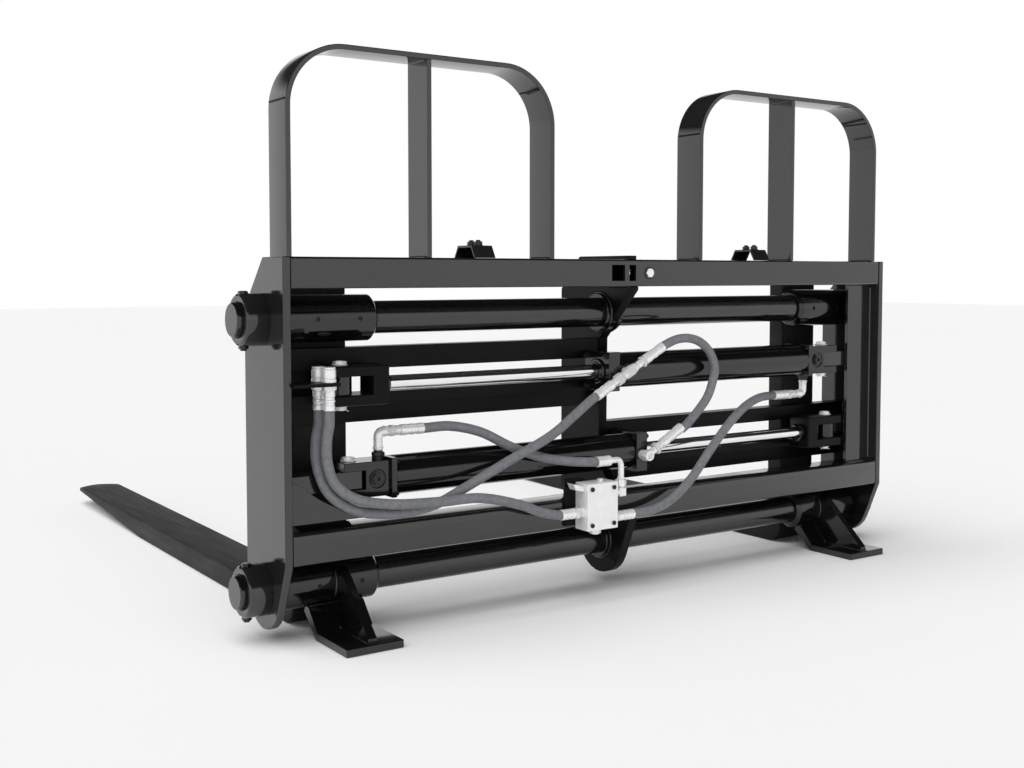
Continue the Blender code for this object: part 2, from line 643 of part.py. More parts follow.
def tee_fitting():
    """The tee that feeds the upper gland and passes on to the lower one."""
    start = TEE_CENTRE - TEE_SLOPE * TEE_HALF
    length = 2 * TEE_HALF
    profile = solid_profile([(0.0130, length), (0.0130, length - 0.030), (0.0110, length - 0.030),
                             (0.0110, 0.030), (0.0130, 0.030), (0.0130, 0)])
    tee = turned("tee_fitting", profile, start, TEE_SLOPE, "zinc", sides=20)
    branch = rod("tee_branch", "Y", 0.001, 0.0285, (TEE_CENTRE.x, TEE_CENTRE.z), 0.0095, sides=16)
    join(tee, branch)


# Each hose's route, point by point.  Its first and last legs are straight, along the fittings there.
HOSES = {
    "hose_supply_valve": [
        (-0.948, 0.005, 0.5757), (-0.948, 0.005, 0.545), (-0.954, 0.007, 0.504), (-0.953, 0.005, 0.444),
        (-0.934, 0.000, 0.394), (-0.888, -0.012, 0.358), (-0.797, -0.022, 0.337), (-0.659, -0.032, 0.330),
        (-0.542, -0.036, 0.328), (-0.421, -0.040, 0.298), (-0.350, -0.041, 0.270), (-0.286, -0.040, 0.2555),
        (-0.2153, -0.040, 0.2555)],
    "hose_supply_tee": [
        (-0.959, 0.0405, 0.5757), (-0.959, 0.0405, 0.545), (-0.967, 0.0395, 0.504), (-0.967, 0.037, 0.444),
        (-0.944, 0.024, 0.374), (-0.885, 0.004, 0.328), (-0.772, -0.004, 0.309), (-0.659, 0.000, 0.317),
        (-0.570, -0.001, 0.351), (-0.439, -0.010, 0.411), (-0.295, -0.008, 0.470), (-0.210, -0.002, 0.520),
        (-0.1504, 0.005, 0.5554), (-0.0759, 0.005, 0.5956)],
    "hose_lower_base": [
        (-0.7602, 0.080, 0.505), (-0.634, 0.080, 0.505), (-0.569, 0.072, 0.506), (-0.488, 0.050, 0.487),
        (-0.405, 0.030, 0.444), (-0.321, 0.012, 0.411), (-0.235, -0.014, 0.394), (-0.165, -0.038, 0.390),
        (-0.118, -0.040, 0.390), (-0.090, -0.040, 0.380), (ELBOW_X, PORT_Y, 0.362), (ELBOW_X, PORT_Y, 0.3433)],
    "hose_upper_base": [
        (-0.1097, PORT_Y, 0.232), (-0.034, PORT_Y, 0.232), (0.030, -0.044, 0.236), (0.095, -0.045, 0.255),
        (0.179, -0.040, 0.307), (0.267, -0.030, 0.387), (0.366, -0.012, 0.462), (0.448, 0.008, 0.503),
        (0.540, 0.042, 0.520), (0.638, 0.080, 0.519), (0.7602, 0.080, 0.519)],
    "hose_rod_ends": [
        (0.0479, 0.005, 0.6624), (0.1162, 0.005, 0.6993), (0.165, 0.004, 0.716), (0.215, 0.003, 0.717),
        (0.258, 0.001, 0.702), (0.292, -0.001, 0.670), (0.308, -0.003, 0.626), (0.300, -0.002, 0.5837),
        (0.282, 0.000, 0.5412), (0.2427, 0.002, 0.4979), (0.1977, 0.002, 0.4601), (0.0735, 0.002, 0.3897)],
}
HOSE_SPACING = 0.040


def smooth_route(route):
    """The two ends, and between them evenly spaced points on a centripetal Catmull-Rom curve."""
    points = np.array(route)
    fine = []
    for a, b, c, d in zip(points, points[1:], points[2:], points[3:]):
        knots = np.cumsum([0] + [math.sqrt(np.linalg.norm(q - p)) for p, q in ((a, b), (b, c), (c, d))])
        for t in np.linspace(knots[1], knots[2], 12, endpoint=False):
            ab = a + (b - a) * (t - knots[0]) / (knots[1] - knots[0])
            bc = b + (c - b) * (t - knots[1]) / (knots[2] - knots[1])
            cd = c + (d - c) * (t - knots[2]) / (knots[3] - knots[2])
            abc = ab + (bc - ab) * (t - knots[0]) / (knots[2] - knots[0])
            bcd = bc + (cd - bc) * (t - knots[1]) / (knots[3] - knots[1])
            fine.append(abc + (bcd - abc) * (t - knots[1]) / (knots[2] - knots[1]))
    fine = np.array(fine + [points[-2]])
    along = np.concatenate([[0], np.cumsum(np.linalg.norm(np.diff(fine, axis=0), axis=1))])
    stations = np.linspace(0, along[-1], round(along[-1] / HOSE_SPACING) + 1)
    middle = np.stack([np.interp(stations, along, fine[:, i]) for i in range(3)], axis=1)
    return np.vstack([points[:1], middle, points[-1:]])


def hose(name, route):
    points = smooth_route(route)
    curve = bpy.data.curves.new(name, "CURVE")
    curve.dimensions = "3D"
    curve.bevel_depth = HOSE_RADIUS
    curve.bevel_resolution = 3
    curve.use_fill_caps = True
    spline = curve.splines.new("POLY")
    spline.points.add(len(points) - 1)
    for point, place in zip(spline.points, points):
        point.co = (*place, 1)
    curve.materials.append(finish_material(name, *FINISHES["rubber"]))
    PARTS.objects.link(bpy.data.objects.new(name, curve))


def carriage(side):
    """Gathers what slides with a fork under an empty on the upper shaft's axis."""
    handle = bpy.data.objects.new("carriage_" + SIDE_NAMES[side], None)
    PARTS.objects.link(handle)
    handle.location = (side * FORK_X, SHAFT_Y, UPPER_SHAFT_Z)
    bpy.context.view_layer.update()
    row = "upper" if side == LEFT else "lower"
    names = [f"{piece}_{SIDE_NAMES[side]}" for piece in ("fork", "fork_lug", "stand_foot", "upper_sleeve",
                                                         "lower_sleeve")]
    names += [f"{row}_{piece}" for piece in ("rod", "rod_clevis", "rod_pin")]
    for name in names:
        piece = bpy.data.objects[name]
        piece.parent = handle
        piece.matrix_parent_inverse = handle.matrix_world.inverted()


def set_origin():
    """Moves everything, cutters too, so that the origin is below the middle of the overall length."""
    middle = (FORK_REACH - FOOT_REACH) / 2
    for thing in bpy.data.objects:
        if not thing.parent:
            thing.location.y -= middle


clear_scene()
PARTS = new_collection("pallet_fork_attachment")
CUTTERS = new_collection("cutters")

for end_side in (LEFT, RIGHT):
    side_plate(end_side)
centre_plate()
frame_tubes()
corner_plates()
guide_rails()
guard_hoops()
saddle_clips()
shafts()
collars()
collar_bolts()
for fork_side in (LEFT, RIGHT):
    fork(fork_side)
    sleeves(fork_side)
    fork_lug(fork_side)
    stand_foot(fork_side)
for cylinder in CYLINDERS:
    cylinder_barrel(cylinder)
    cylinder_gland(cylinder)
    cylinder_rod(cylinder)
    rod_clevis(cylinder)
clevis_pins()
flow_divider()
couplers()
tee_fitting()
for hose_name, hose_route in HOSES.items():
    hose(hose_name, hose_route)
for fork_side in (LEFT, RIGHT):
    carriage(fork_side)
set_origin()
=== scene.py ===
"""Finish of the pallet fork attachment: round parts, hoses, fittings, paint, light and camera.

Sizes are metres.  The Y of every size below counts from the frame's rear plane, and each mesh is moved
to the attachment's own origin as it is made.
"""
import math

import bmesh
import bpy
import numpy as np
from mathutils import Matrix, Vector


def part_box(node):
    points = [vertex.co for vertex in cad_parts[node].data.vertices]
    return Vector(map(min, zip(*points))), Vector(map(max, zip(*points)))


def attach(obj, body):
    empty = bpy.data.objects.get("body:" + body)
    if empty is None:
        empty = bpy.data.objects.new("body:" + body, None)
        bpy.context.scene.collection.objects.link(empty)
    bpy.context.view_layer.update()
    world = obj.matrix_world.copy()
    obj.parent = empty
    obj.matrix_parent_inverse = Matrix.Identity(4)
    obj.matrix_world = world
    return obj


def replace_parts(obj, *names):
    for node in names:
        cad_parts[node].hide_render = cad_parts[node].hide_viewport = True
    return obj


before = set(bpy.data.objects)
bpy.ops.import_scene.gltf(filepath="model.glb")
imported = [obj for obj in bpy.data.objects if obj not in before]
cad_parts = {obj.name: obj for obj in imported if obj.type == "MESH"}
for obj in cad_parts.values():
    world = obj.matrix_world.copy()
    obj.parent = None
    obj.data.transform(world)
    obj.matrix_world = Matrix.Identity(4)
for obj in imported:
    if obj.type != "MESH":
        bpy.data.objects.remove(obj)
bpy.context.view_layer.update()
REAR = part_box("bottom_tube")[0].y
SCENE = bpy.context.scene

LEFT, RIGHT = -1, 1
SIDE_NAMES = {LEFT: "left", RIGHT: "right"}
CARRIAGES = {LEFT: "left_carriage", RIGHT: "right_carriage"}
HALF = 1.067  # to the end plates' outer faces
SHAFT_Y = 0.14
SHAFT_HEIGHTS = {"upper": 0.795, "lower": 0.129}
SHAFT_RADIUS = 0.0425
CYLINDER_Y = 0.08
CYLINDERS = {"upper": (0.629, RIGHT), "lower": (0.392, LEFT)}
FORK_X = 0.883
X_AXIS, Y_AXIS, Z_AXIS = (1, 0, 0), (0, 1, 0), (0, 0, 1)
REARWARD, DOWN = (0, -1, 0), (0, 0, -1)


# ---------------- finishes
class Finish:
    """A Principled material whose colour, roughness and bump come from noise on object coordinates."""

    def __init__(self, name, roughness, metallic=0.0, specular=0.5, coat=0.0, ior=1.5):
        self.material = bpy.data.materials.new(name)
        self.material.use_nodes = True
        self.tree = self.material.node_tree
        self.shader = self.tree.nodes["Principled BSDF"]
        self.shader.inputs["Roughness"].default_value = roughness
        self.shader.inputs["Metallic"].default_value = metallic
        self.shader.inputs["Specular IOR Level"].default_value = specular
        self.shader.inputs["IOR"].default_value = ior
        self.shader.inputs["Coat Weight"].default_value = coat
        self.shader.inputs["Coat Roughness"].default_value = 0.12
        self.coordinates = self.tree.nodes.new("ShaderNodeTexCoord")
        self.normal = None

    def link(self, output, socket):
        """Feeds a node's output into a socket."""
        self.tree.links.new(output, socket)

    def stretched(self, scale, coordinates="Object"):
        """The coordinates, each multiplied by its own scale."""
        mapping = self.tree.nodes.new("ShaderNodeMapping")
        mapping.inputs["Scale"].default_value = scale
        self.link(self.coordinates.outputs[coordinates], mapping.inputs["Vector"])
        return mapping.outputs["Vector"]

    def noise(self, scale, detail=4.0, stretch=(1, 1, 1)):
        """Noise with about so many cells to the metre, times the stretch along each axis."""
        texture = self.tree.nodes.new("ShaderNodeTexNoise")
        texture.inputs["Scale"].default_value = scale
        texture.inputs["Detail"].default_value = detail
        self.link(self.stretched(stretch), texture.inputs["Vector"])
        return texture.outputs["Fac"]

    def ramp(self, value, low, high, start=0.3, end=0.7):
        """From low to high, each a linear colour or a grey, as the value goes from start to end."""
        node = self.tree.nodes.new("ShaderNodeValToRGB")
        for element, place, shade in zip(node.color_ramp.elements, (start, end), (low, high)):
            element.position = place
            element.color = (*shade, 1) if isinstance(shade, tuple) else (shade, shade, shade, 1)
        self.link(value, node.inputs["Fac"])
        return node.outputs["Color"]

    def mix(self, factor, first, second):
        """The first colour where the factor is 0, and the second where it is 1."""
        node = self.tree.nodes.new("ShaderNodeMix")
        node.data_type = "RGBA"
        self.link(factor, node.inputs[0])
        self.link(first, node.inputs[6])
        self.link(second, node.inputs[7])
        return node.outputs[2]

    def colour(self, value, *shades):
        """The base colour: a colour socket, or a value ramped between two shades."""
        self.link(self.ramp(value, *shades) if shades else value, self.shader.inputs["Base Color"])

    def roughness(self, value, *limits):
        """The roughness: a value ramped between two limits."""
        self.link(self.ramp(value, *limits), self.shader.inputs["Roughness"])

    def bump(self, height, distance, strength=1.0):
        """Adds a bump on top of those before it."""
        node = self.tree.nodes.new("ShaderNodeBump")
        node.inputs["Strength"].default_value = strength
        node.inputs["Distance"].default_value = distance
        self.link(height, node.inputs["Height"])
        if self.normal:
            self.link(self.normal, node.inputs["Normal"])
        self.normal = node.outputs["Normal"]
        self.link(self.normal, self.shader.inputs["Normal"])


def enamel(name, shades, gloss, ior):
    """Hard black enamel over steel: a faint orange peel, dust in its colour and slightly uneven gloss."""
    paint = Finish(name, gloss[0], ior=ior)
    low, high = ((shade, shade, shade * 1.03) for shade in shades)
    paint.colour(paint.noise(2.3, 6.0), low, high, 0.3, 0.75)
    paint.roughness(paint.noise(9.0, 5.0), *gloss)
    paint.bump(paint.noise(300.0, 2.0), 0.0002, 0.05)
    return paint.material


def fork_steel():
    """Forged steel under thin black paint, scuffed along the blade."""
    steel = Finish("fork_steel", 0.52, ior=1.28)
    scuffs = steel.noise(30.0, 6.0, (3.0, 0.16, 1.0))
    base = steel.ramp(steel.noise(5.0, 5.0), (0.01, 0.0092, 0.009), (0.017, 0.0158, 0.0155))
    worn = steel.ramp(scuffs, (0.026, 0.024, 0.023), (0.036, 0.033, 0.032), 0.0, 1.0)
    steel.colour(steel.mix(steel.ramp(scuffs, 0.0, 0.55, 0.6, 0.74), base, worn))
    steel.roughness(scuffs, 0.58, 0.48, 0.35, 0.75)
    steel.bump(steel.noise(60.0, 6.0), 0.0006, 0.18)
    steel.bump(steel.noise(480.0, 2.0), 0.0002, 0.12)
    return steel.material


def shaft_steel():
    """Ground steel blacked all over, with fine turning marks across its length."""
    steel = Finish("shaft_steel", 0.14, ior=1.7)
    steel.colour(steel.noise(3.0, 5.0), (0.004, 0.004, 0.0042), (0.008, 0.008, 0.0083))
    marks = steel.noise(55.0, 3.0, (14.0, 0.4, 0.4))
    steel.roughness(marks, 0.1, 0.18)
    steel.bump(marks, 0.0001, 0.12)
    return steel.material


def polished_steel():
    """Hard chrome with the faintest grinding lines round it."""
    chrome = Finish("polished_steel", 0.08, metallic=1.0)
    chrome.colour(chrome.noise(4.0), (0.83, 0.83, 0.84), (0.9, 0.9, 0.91))
    lines = chrome.noise(60.0, 3.0, (16.0, 0.3, 0.3))
    chrome.roughness(lines, 0.06, 0.14)
    return chrome.material


def zinc_plate():
    """Bright zinc plate: pale, a little cloudy, with fine machining marks."""
    zinc = Finish("zinc_plate", 0.26, metallic=0.35)
    zinc.colour(zinc.noise(60.0, 5.0), (0.86, 0.87, 0.88), (0.97, 0.97, 0.98), 0.25, 0.75)
    zinc.roughness(zinc.noise(140.0, 4.0), 0.16, 0.3)
    zinc.bump(zinc.noise(900.0, 2.0), 0.0001, 0.15)
    return zinc.material


def valve_aluminium():
    """Milled aluminium with straight tool marks."""
    metal = Finish("valve_aluminium", 0.4, metallic=0.25)
    marks = metal.noise(80.0, 3.0, (0.6, 0.6, 14.0))
    metal.colour(metal.noise(40.0), 0.88, 0.95)
    metal.roughness(marks, 0.32, 0.5)
    metal.bump(marks, 0.0001, 0.2)
    return metal.material


def hose_rubber():
    """Matte blue-grey cover with the wrap marks of its curing tape, wound along the hose's own length."""
    rubber = Finish("hose_rubber", 0.62, specular=0.35)
    rubber.colour(rubber.noise(90.0, 5.0), (0.15, 0.154, 0.168), (0.215, 0.219, 0.235))
    rubber.roughness(rubber.noise(200.0, 3.0), 0.55, 0.7)
    wrap = rubber.tree.nodes.new("ShaderNodeTexWave")
    wrap.bands_direction = "DIAGONAL"
    wrap.inputs["Scale"].default_value = 1.0
    wrap.inputs["Distortion"].default_value = 0.6
    rubber.link(rubber.stretched((math.pi / 3, 190.0, 1.0), "UV"), wrap.inputs["Vector"])
    rubber.bump(wrap.outputs["Fac"], 0.0004, 0.35)
    rubber.bump(rubber.noise(700.0, 3.0), 0.0002, 0.25)
    return rubber.material


def dark_fastener():
    """Black oxide screws and nuts."""
    oxide = Finish("dark_fastener", 0.3, metallic=0.4, coat=0.2)
    oxide.colour(oxide.noise(80.0, 4.0), (0.014, 0.014, 0.015), (0.028, 0.028, 0.03))
    oxide.bump(oxide.noise(600.0, 3.0), 0.0001, 0.2)
    return oxide.material


def floor_finish():
    """Matte white studio floor."""
    white = Finish("studio_floor", 0.9, specular=0.1)
    white.colour(white.noise(0.4, 2.0), 0.93, 0.95, 0.2, 0.8)
    return white.material


FRAME_PAINT = enamel("frame_paint", (0.009, 0.015), (0.07, 0.13), 1.7)
GLOSS_BLACK = enamel("gloss_black", (0.003, 0.006), (0.07, 0.13), 1.6)
DEEP_BLACK = enamel("deep_black", (0.0025, 0.005), (0.3, 0.4), 1.22)
FORK_STEEL = fork_steel()
SHAFT_STEEL = shaft_steel()
POLISHED = polished_steel()
ZINC = zinc_plate()
ALUMINIUM = valve_aluminium()
RUBBER = hose_rubber()
OXIDE = dark_fastener()


# ---------------- surfaces
def finished(name, mesh, body, finish, sharp):
    """A smooth object with sharp edges past an angle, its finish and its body."""
    mesh.shade_smooth()
    mesh.set_sharp_from_angle(angle=math.radians(sharp))
    mesh.materials.clear()
    mesh.materials.append(finish)
    thing = bpy.data.objects.new(name, mesh)
    SCENE.collection.objects.link(thing)
    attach(thing, body)
    return thing


def add_piece(name, points, faces, body, finish, sharp=38.0):
    """A mesh from an (n, 3) array and its faces, moved to the attachment's origin."""
    places = np.array(points, dtype=float).reshape(-1, 3)
    places[:, 1] += REAR
    mesh = bpy.data.meshes.new(name)
    mesh.from_pydata(places, [], faces)
    shape = bmesh.new()
    shape.from_mesh(mesh)
    bmesh.ops.recalc_face_normals(shape, faces=shape.faces)
    shape.to_mesh(mesh)
    shape.free()
    return finished(name, mesh, body, finish, sharp)


def grid_faces(rows, columns, closed):
    """Quads between neighbouring rows and columns.  Columns join round; rows do too if it is closed."""
    index = np.arange(rows * columns).reshape(rows, columns)
    index = np.hstack([index, index[:, :1]])
    if closed:
        index = np.vstack([index, index[:1]])
    quads = np.stack([index[:-1, :-1], index[:-1, 1:], index[1:, 1:], index[1:, :-1]], axis=-1)
    faces = quads.reshape(-1, 4).tolist()
    if not closed:
        faces.append(list(range(columns)))
        faces.append(list(range((rows - 1) * columns, rows * columns)))
    return faces


def skin(name, grid, body, finish, closed=False, sharp=38.0):
    """A closed surface through a (rows, columns, 3) grid, its two ends capped unless its rows join up."""
    rows, columns = grid.shape[:2]
    return add_piece(name, grid.reshape(-1, 3), grid_faces(rows, columns, closed), body, finish, sharp)


def round_angles(sides):
    """Evenly spaced angles, once round."""
    return np.linspace(0, 2 * math.pi, sides, endpoint=False)


def unit(vectors):
    """Each row at length 1."""
    return vectors / np.linalg.norm(vectors, axis=1)[:, None]


def metres_along(path):
    """The length of the path up to each of its points."""
    return np.concatenate([[0], np.cumsum(np.linalg.norm(np.diff(path, axis=0), axis=1))])


def cross_axes(direction):
    """The unit direction and two unit vectors square to it."""
    along = np.array(direction, dtype=float)
    along /= np.linalg.norm(along)
    helper = np.array(Y_AXIS if abs(along[1]) < 0.9 else X_AXIS, dtype=float)
    side = np.cross(helper, along)
    side /= np.linalg.norm(side)
    return along, side, np.cross(along, side)


def rounded(points, radius, steps=4, closed=False):
    """Each corner C becomes the quadratic curve (1-t)^2 A + 2t(1-t) C + t^2 B between points A and B on
    the edges beside it, radius away or 0.45 of the edge if that is less."""
    corners = np.array(points, dtype=float)
    before = np.roll(corners, 1, axis=0) - corners
    after = np.roll(corners, -1, axis=0) - corners
    reach_before = np.linalg.norm(before, axis=1)[:, None]
    reach_after = np.linalg.norm(after, axis=1)[:, None]
    start = corners + before / reach_before * np.minimum(radius, 0.45 * reach_before)
    end = corners + after / reach_after * np.minimum(radius, 0.45 * reach_after)
    t = np.linspace(0, 1, steps + 1)[None, :, None]
    curve = (1 - t) ** 2 * start[:, None] + 2 * t * (1 - t) * corners[:, None] + t ** 2 * end[:, None]
    if closed:
        return curve.reshape(-1, corners.shape[1])
    middle = curve[1:-1].reshape(-1, corners.shape[1])
    return np.vstack([corners[:1], middle, corners[-1:]])


def turned(name, profile, place, direction, body, finish, sides=72, closed=False, sharp=30.0):
    """Radius r and height h at each profile point become place + h w + r (u cos a + v sin a), where w is
    the direction, u and v are square to it, and a runs round."""
    along, side, up = cross_axes(direction)
    radius, height = np.array(profile, dtype=float).T
    angle = round_angles(sides)[None, :, None]
    ring = np.cos(angle) * side + np.sin(angle) * up
    grid = np.array(place) + height[:, None, None] * along + radius[:, None, None] * ring
    return skin(name, grid, body, finish, closed, sharp)


def fitting(name, sections, start, direction, body, finish, sides=60):
    """Round lengths, each (radius, length), and hexagonal ones, (width, length, "hex"), on one axis.

    A hexagon's radius at angle a is half its width over cos(a - nearest flat's angle).  Each length has a
    small chamfer at both ends."""
    along, side, up = cross_axes(direction)
    angle = round_angles(sides)
    from_flat = (angle + math.pi / 6) % (math.pi / 3) - math.pi / 6
    radii, heights, at = [], [], 0.0
    for size, length, *hexagon in sections:
        edge = min(0.0012, length / 5)
        if hexagon:
            outline = size / 2 / np.cos(from_flat)
            end = np.minimum(outline, size / 2 * 1.03)
        else:
            outline = np.full(sides, size)
            end = outline - edge
        radii += [end, outline, outline, end]
        heights += [at, at + edge, at + length - edge, at + length]
        at += length
    ring = np.cos(angle)[:, None] * side + np.sin(angle)[:, None] * up
    grid = np.array(start) + np.array(heights)[:, None, None] * along + np.array(radii)[:, :, None] * ring
    return skin(name, grid, body, finish, sharp=25.0)


def zinc_fitting(name, sections, start, direction):
    """A bright fitting that stays with the frame."""
    return fitting(name, sections, start, direction, "frame", ZINC)


def smooth_route(route, spacing):
    """The two ends, and between them evenly spaced points on a centripetal Catmull-Rom curve."""
    points = np.array(route, dtype=float)
    steps = np.sqrt(np.linalg.norm(np.diff(points, axis=0), axis=1))
    t = np.linspace(0, 1, 24, endpoint=False)[None, :, None]
    a, b, c, d = points[:-3, None], points[1:-2, None], points[2:-1, None], points[3:, None]
    one, two, three = (s[:, None, None] for s in (steps[:-2], steps[1:-1], steps[2:]))
    u = t * two
    ab = b + (b - a) * u / one
    bc = b + (c - b) * u / two
    cd = c + (d - c) * (u - two) / three
    abc = (ab * (two - u) + bc * (one + u)) / (one + two)
    bcd = (bc * (two + three - u) + cd * u) / (two + three)
    fine = np.vstack([((abc * (two - u) + bcd * u) / two).reshape(-1, 3), points[-2:-1]])
    along = metres_along(fine)
    stations = np.linspace(0, along[-1], max(2, round(along[-1] / spacing) + 1))
    middle = np.stack([np.interp(stations, along, fine[:, i]) for i in range(3)], axis=1)
    return np.vstack([points[:1], middle, points[-1:]])


def tube(name, path, radius, body, finish, sides=32):
    """A circle carried along a path: at each point it is square to the direction from the point before
    to the point after.  Its UV map holds the turn round it and the metres along it."""
    path = np.array(path, dtype=float)
    tangent = unit(np.gradient(path, axis=0))
    helper = np.where(np.abs(tangent[:, 1:2]) < 0.9, np.array([Y_AXIS]), np.array([X_AXIS]))
    side = unit(np.cross(helper, tangent))
    up = np.cross(tangent, side)
    angle = round_angles(sides)[None, :, None]
    radii = np.broadcast_to(np.array(radius, dtype=float), len(path))[:, None, None]
    grid = path[:, None] + radii * (np.cos(angle) * side[:, None] + np.sin(angle) * up[:, None])
    thing = skin(name, grid, body, finish)
    along = metres_along(path)
    corner = np.zeros(len(thing.data.loops), dtype=np.int32)
    thing.data.loops.foreach_get("vertex_index", corner)
    row, column = corner // sides, corner % sides
    uv = np.stack([column / sides, along[row]], axis=1)
    layer = thing.data.uv_layers.new(name="along")
    layer.data.foreach_set("uv", uv.ravel())
    return thing


def prism(name, outline, axis, low, high, body, finish, bevel=0.0015, segments=2):
    """An outline in the plane across the axis, carried from low to high along it, with rounded edges."""
    outline = np.array(outline, dtype=float)
    count = len(outline)
    across = np.repeat([low, high], count)
    points = np.insert(np.vstack([outline, outline]), "XYZ".index(axis), across, axis=1)
    thing = add_piece(name, points, grid_faces(2, count, False), body, finish)
    if bevel:
        soften(thing, bevel, segments)
    return thing


def soften(thing, width, segments=2):
    """Rounds the sharp edges."""
    bevel = thing.modifiers.new("soften", "BEVEL")
    bevel.width = width
    bevel.segments = segments
    bevel.limit_method = "ANGLE"
    bevel.angle_limit = math.radians(35)
    bevel.harden_normals = True


def block(name, low, high, body, finish, bevel=0.0015, segments=2):
    """A box with rounded edges."""
    outline = [(low[0], low[1]), (high[0], low[1]), (high[0], high[1]), (low[0], high[1])]
    return prism(name, outline, "Z", low[2], high[2], body, finish, bevel, segments)


def drilled(thing, *holes):
    """Cuts round holes, each (place, direction, radius, depth), their depth counted both ways."""
    for place, direction, radius, depth in holes:
        along, side, up = cross_axes(direction)
        angle = round_angles(32)[None, :, None]
        ring = radius * (np.cos(angle) * side + np.sin(angle) * up)
        grid = np.array(place) + np.array([[-depth], [depth]])[:, :, None] * along + ring
        cutter = skin("cutter", grid, "frame", FRAME_PAINT)
        cut = thing.modifiers.new("drill", "BOOLEAN")
        cut.operation = "DIFFERENCE"
        cut.solver = "EXACT"
        cut.object = cutter
        bpy.context.view_layer.update()
        evaluated = thing.evaluated_get(bpy.context.evaluated_depsgraph_get())
        mesh = bpy.data.meshes.new_from_object(evaluated)
        old = thing.data
        thing.modifiers.clear()
        thing.data = mesh
        mesh.name = old.name
        bpy.data.meshes.remove(old)
        bpy.data.objects.remove(cutter, do_unlink=True)
    thing.data.set_sharp_from_angle(angle=math.radians(30))
    return thing


def refined(node, body, finish, bevel=0.0012, segments=2):
    """A CAD part with its triangles merged into flat faces and its edges rounded."""
    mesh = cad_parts[node].data.copy()
    shape = bmesh.new()
    shape.from_mesh(mesh)
    bmesh.ops.remove_doubles(shape, verts=shape.verts, dist=0.00002)
    bmesh.ops.dissolve_limit(shape, angle_limit=math.radians(0.4), verts=shape.verts, edges=shape.edges,
                             use_dissolve_boundaries=False)
    shape.to_mesh(mesh)
    shape.free()
    thing = finished(node + "_finished", mesh, body, finish, 30)
    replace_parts(thing, node)
    soften(thing, bevel, segments)


def arc(centre, radius, start, end, steps):
    """Points at centre + radius (cos a, sin a), with a in degrees."""
    angle = np.radians(np.linspace(start, end, steps + 1))
    return np.stack([centre[0] + radius * np.cos(angle), centre[1] + radius * np.sin(angle)], axis=1)


def straight(start, end, spacing=0.0015):
    """Evenly spaced points from start to end."""
    count = max(2, int(math.dist(start, end) / spacing))
    return np.linspace(start, end, count)


WELD_SIZE = 0.0042
WELD_RIPPLE = 0.005


def weld(name, path, body, finish, size=WELD_SIZE):
    """A bead whose radius is size (1 + 0.13 |sin|) along it, one ripple every 5 mm, tapered at its ends."""
    path = np.array(path, dtype=float)
    along = metres_along(path)
    ripple = 1 + 0.13 * np.abs(np.sin(math.pi * along / WELD_RIPPLE))
    ends = np.sqrt(np.clip(np.minimum(along, along[-1] - along) / WELD_RIPPLE, 0.04, 1))
    tube(name, path, size * ripple * ends, body, finish, sides=12)


# ---------------- frame
TUBE_DEPTH = 0.1016
FRAME_TOP = 0.947
TOP_TUBE_BOTTOM = 0.8708
BOTTOM_TUBE_TOP = 0.2832
INNER = 1.0467  # to the end plates' inner faces
TUBE_BOLT_X, TUBE_BOLT_Z = 0.055, 0.909
CLIP_X, CLIP_TOP = 0.503, FRAME_TOP + 0.0333
HOOP_BAR = 0.013
HOOP_CORNER = 0.155
HOOP_TOP = 1.455
HOOP_SPANS = {LEFT: (-1.056, -0.28), RIGHT: (0.246, 1.024)}
CENTRE_PLATE_EDGE = 0.0153
UPRIGHT_X = (0.942, 1.044)
RAILS = ("upper_rail_top", "upper_rail_bottom", "lower_rail_top", "lower_rail_bottom")


def plain_frame_parts():
    """The frame's own CAD shapes, with their edges rounded."""
    for node in ("side_plate_left", "side_plate_right", "top_tube", "bottom_tube",
                 "upright_right", "gusset_left"):
        refined(node, "frame", FRAME_PAINT)
    for node in ("centre_plate", "coupler_bracket", "valve_bracket", *RAILS):
        refined(node, "frame", DEEP_BLACK)


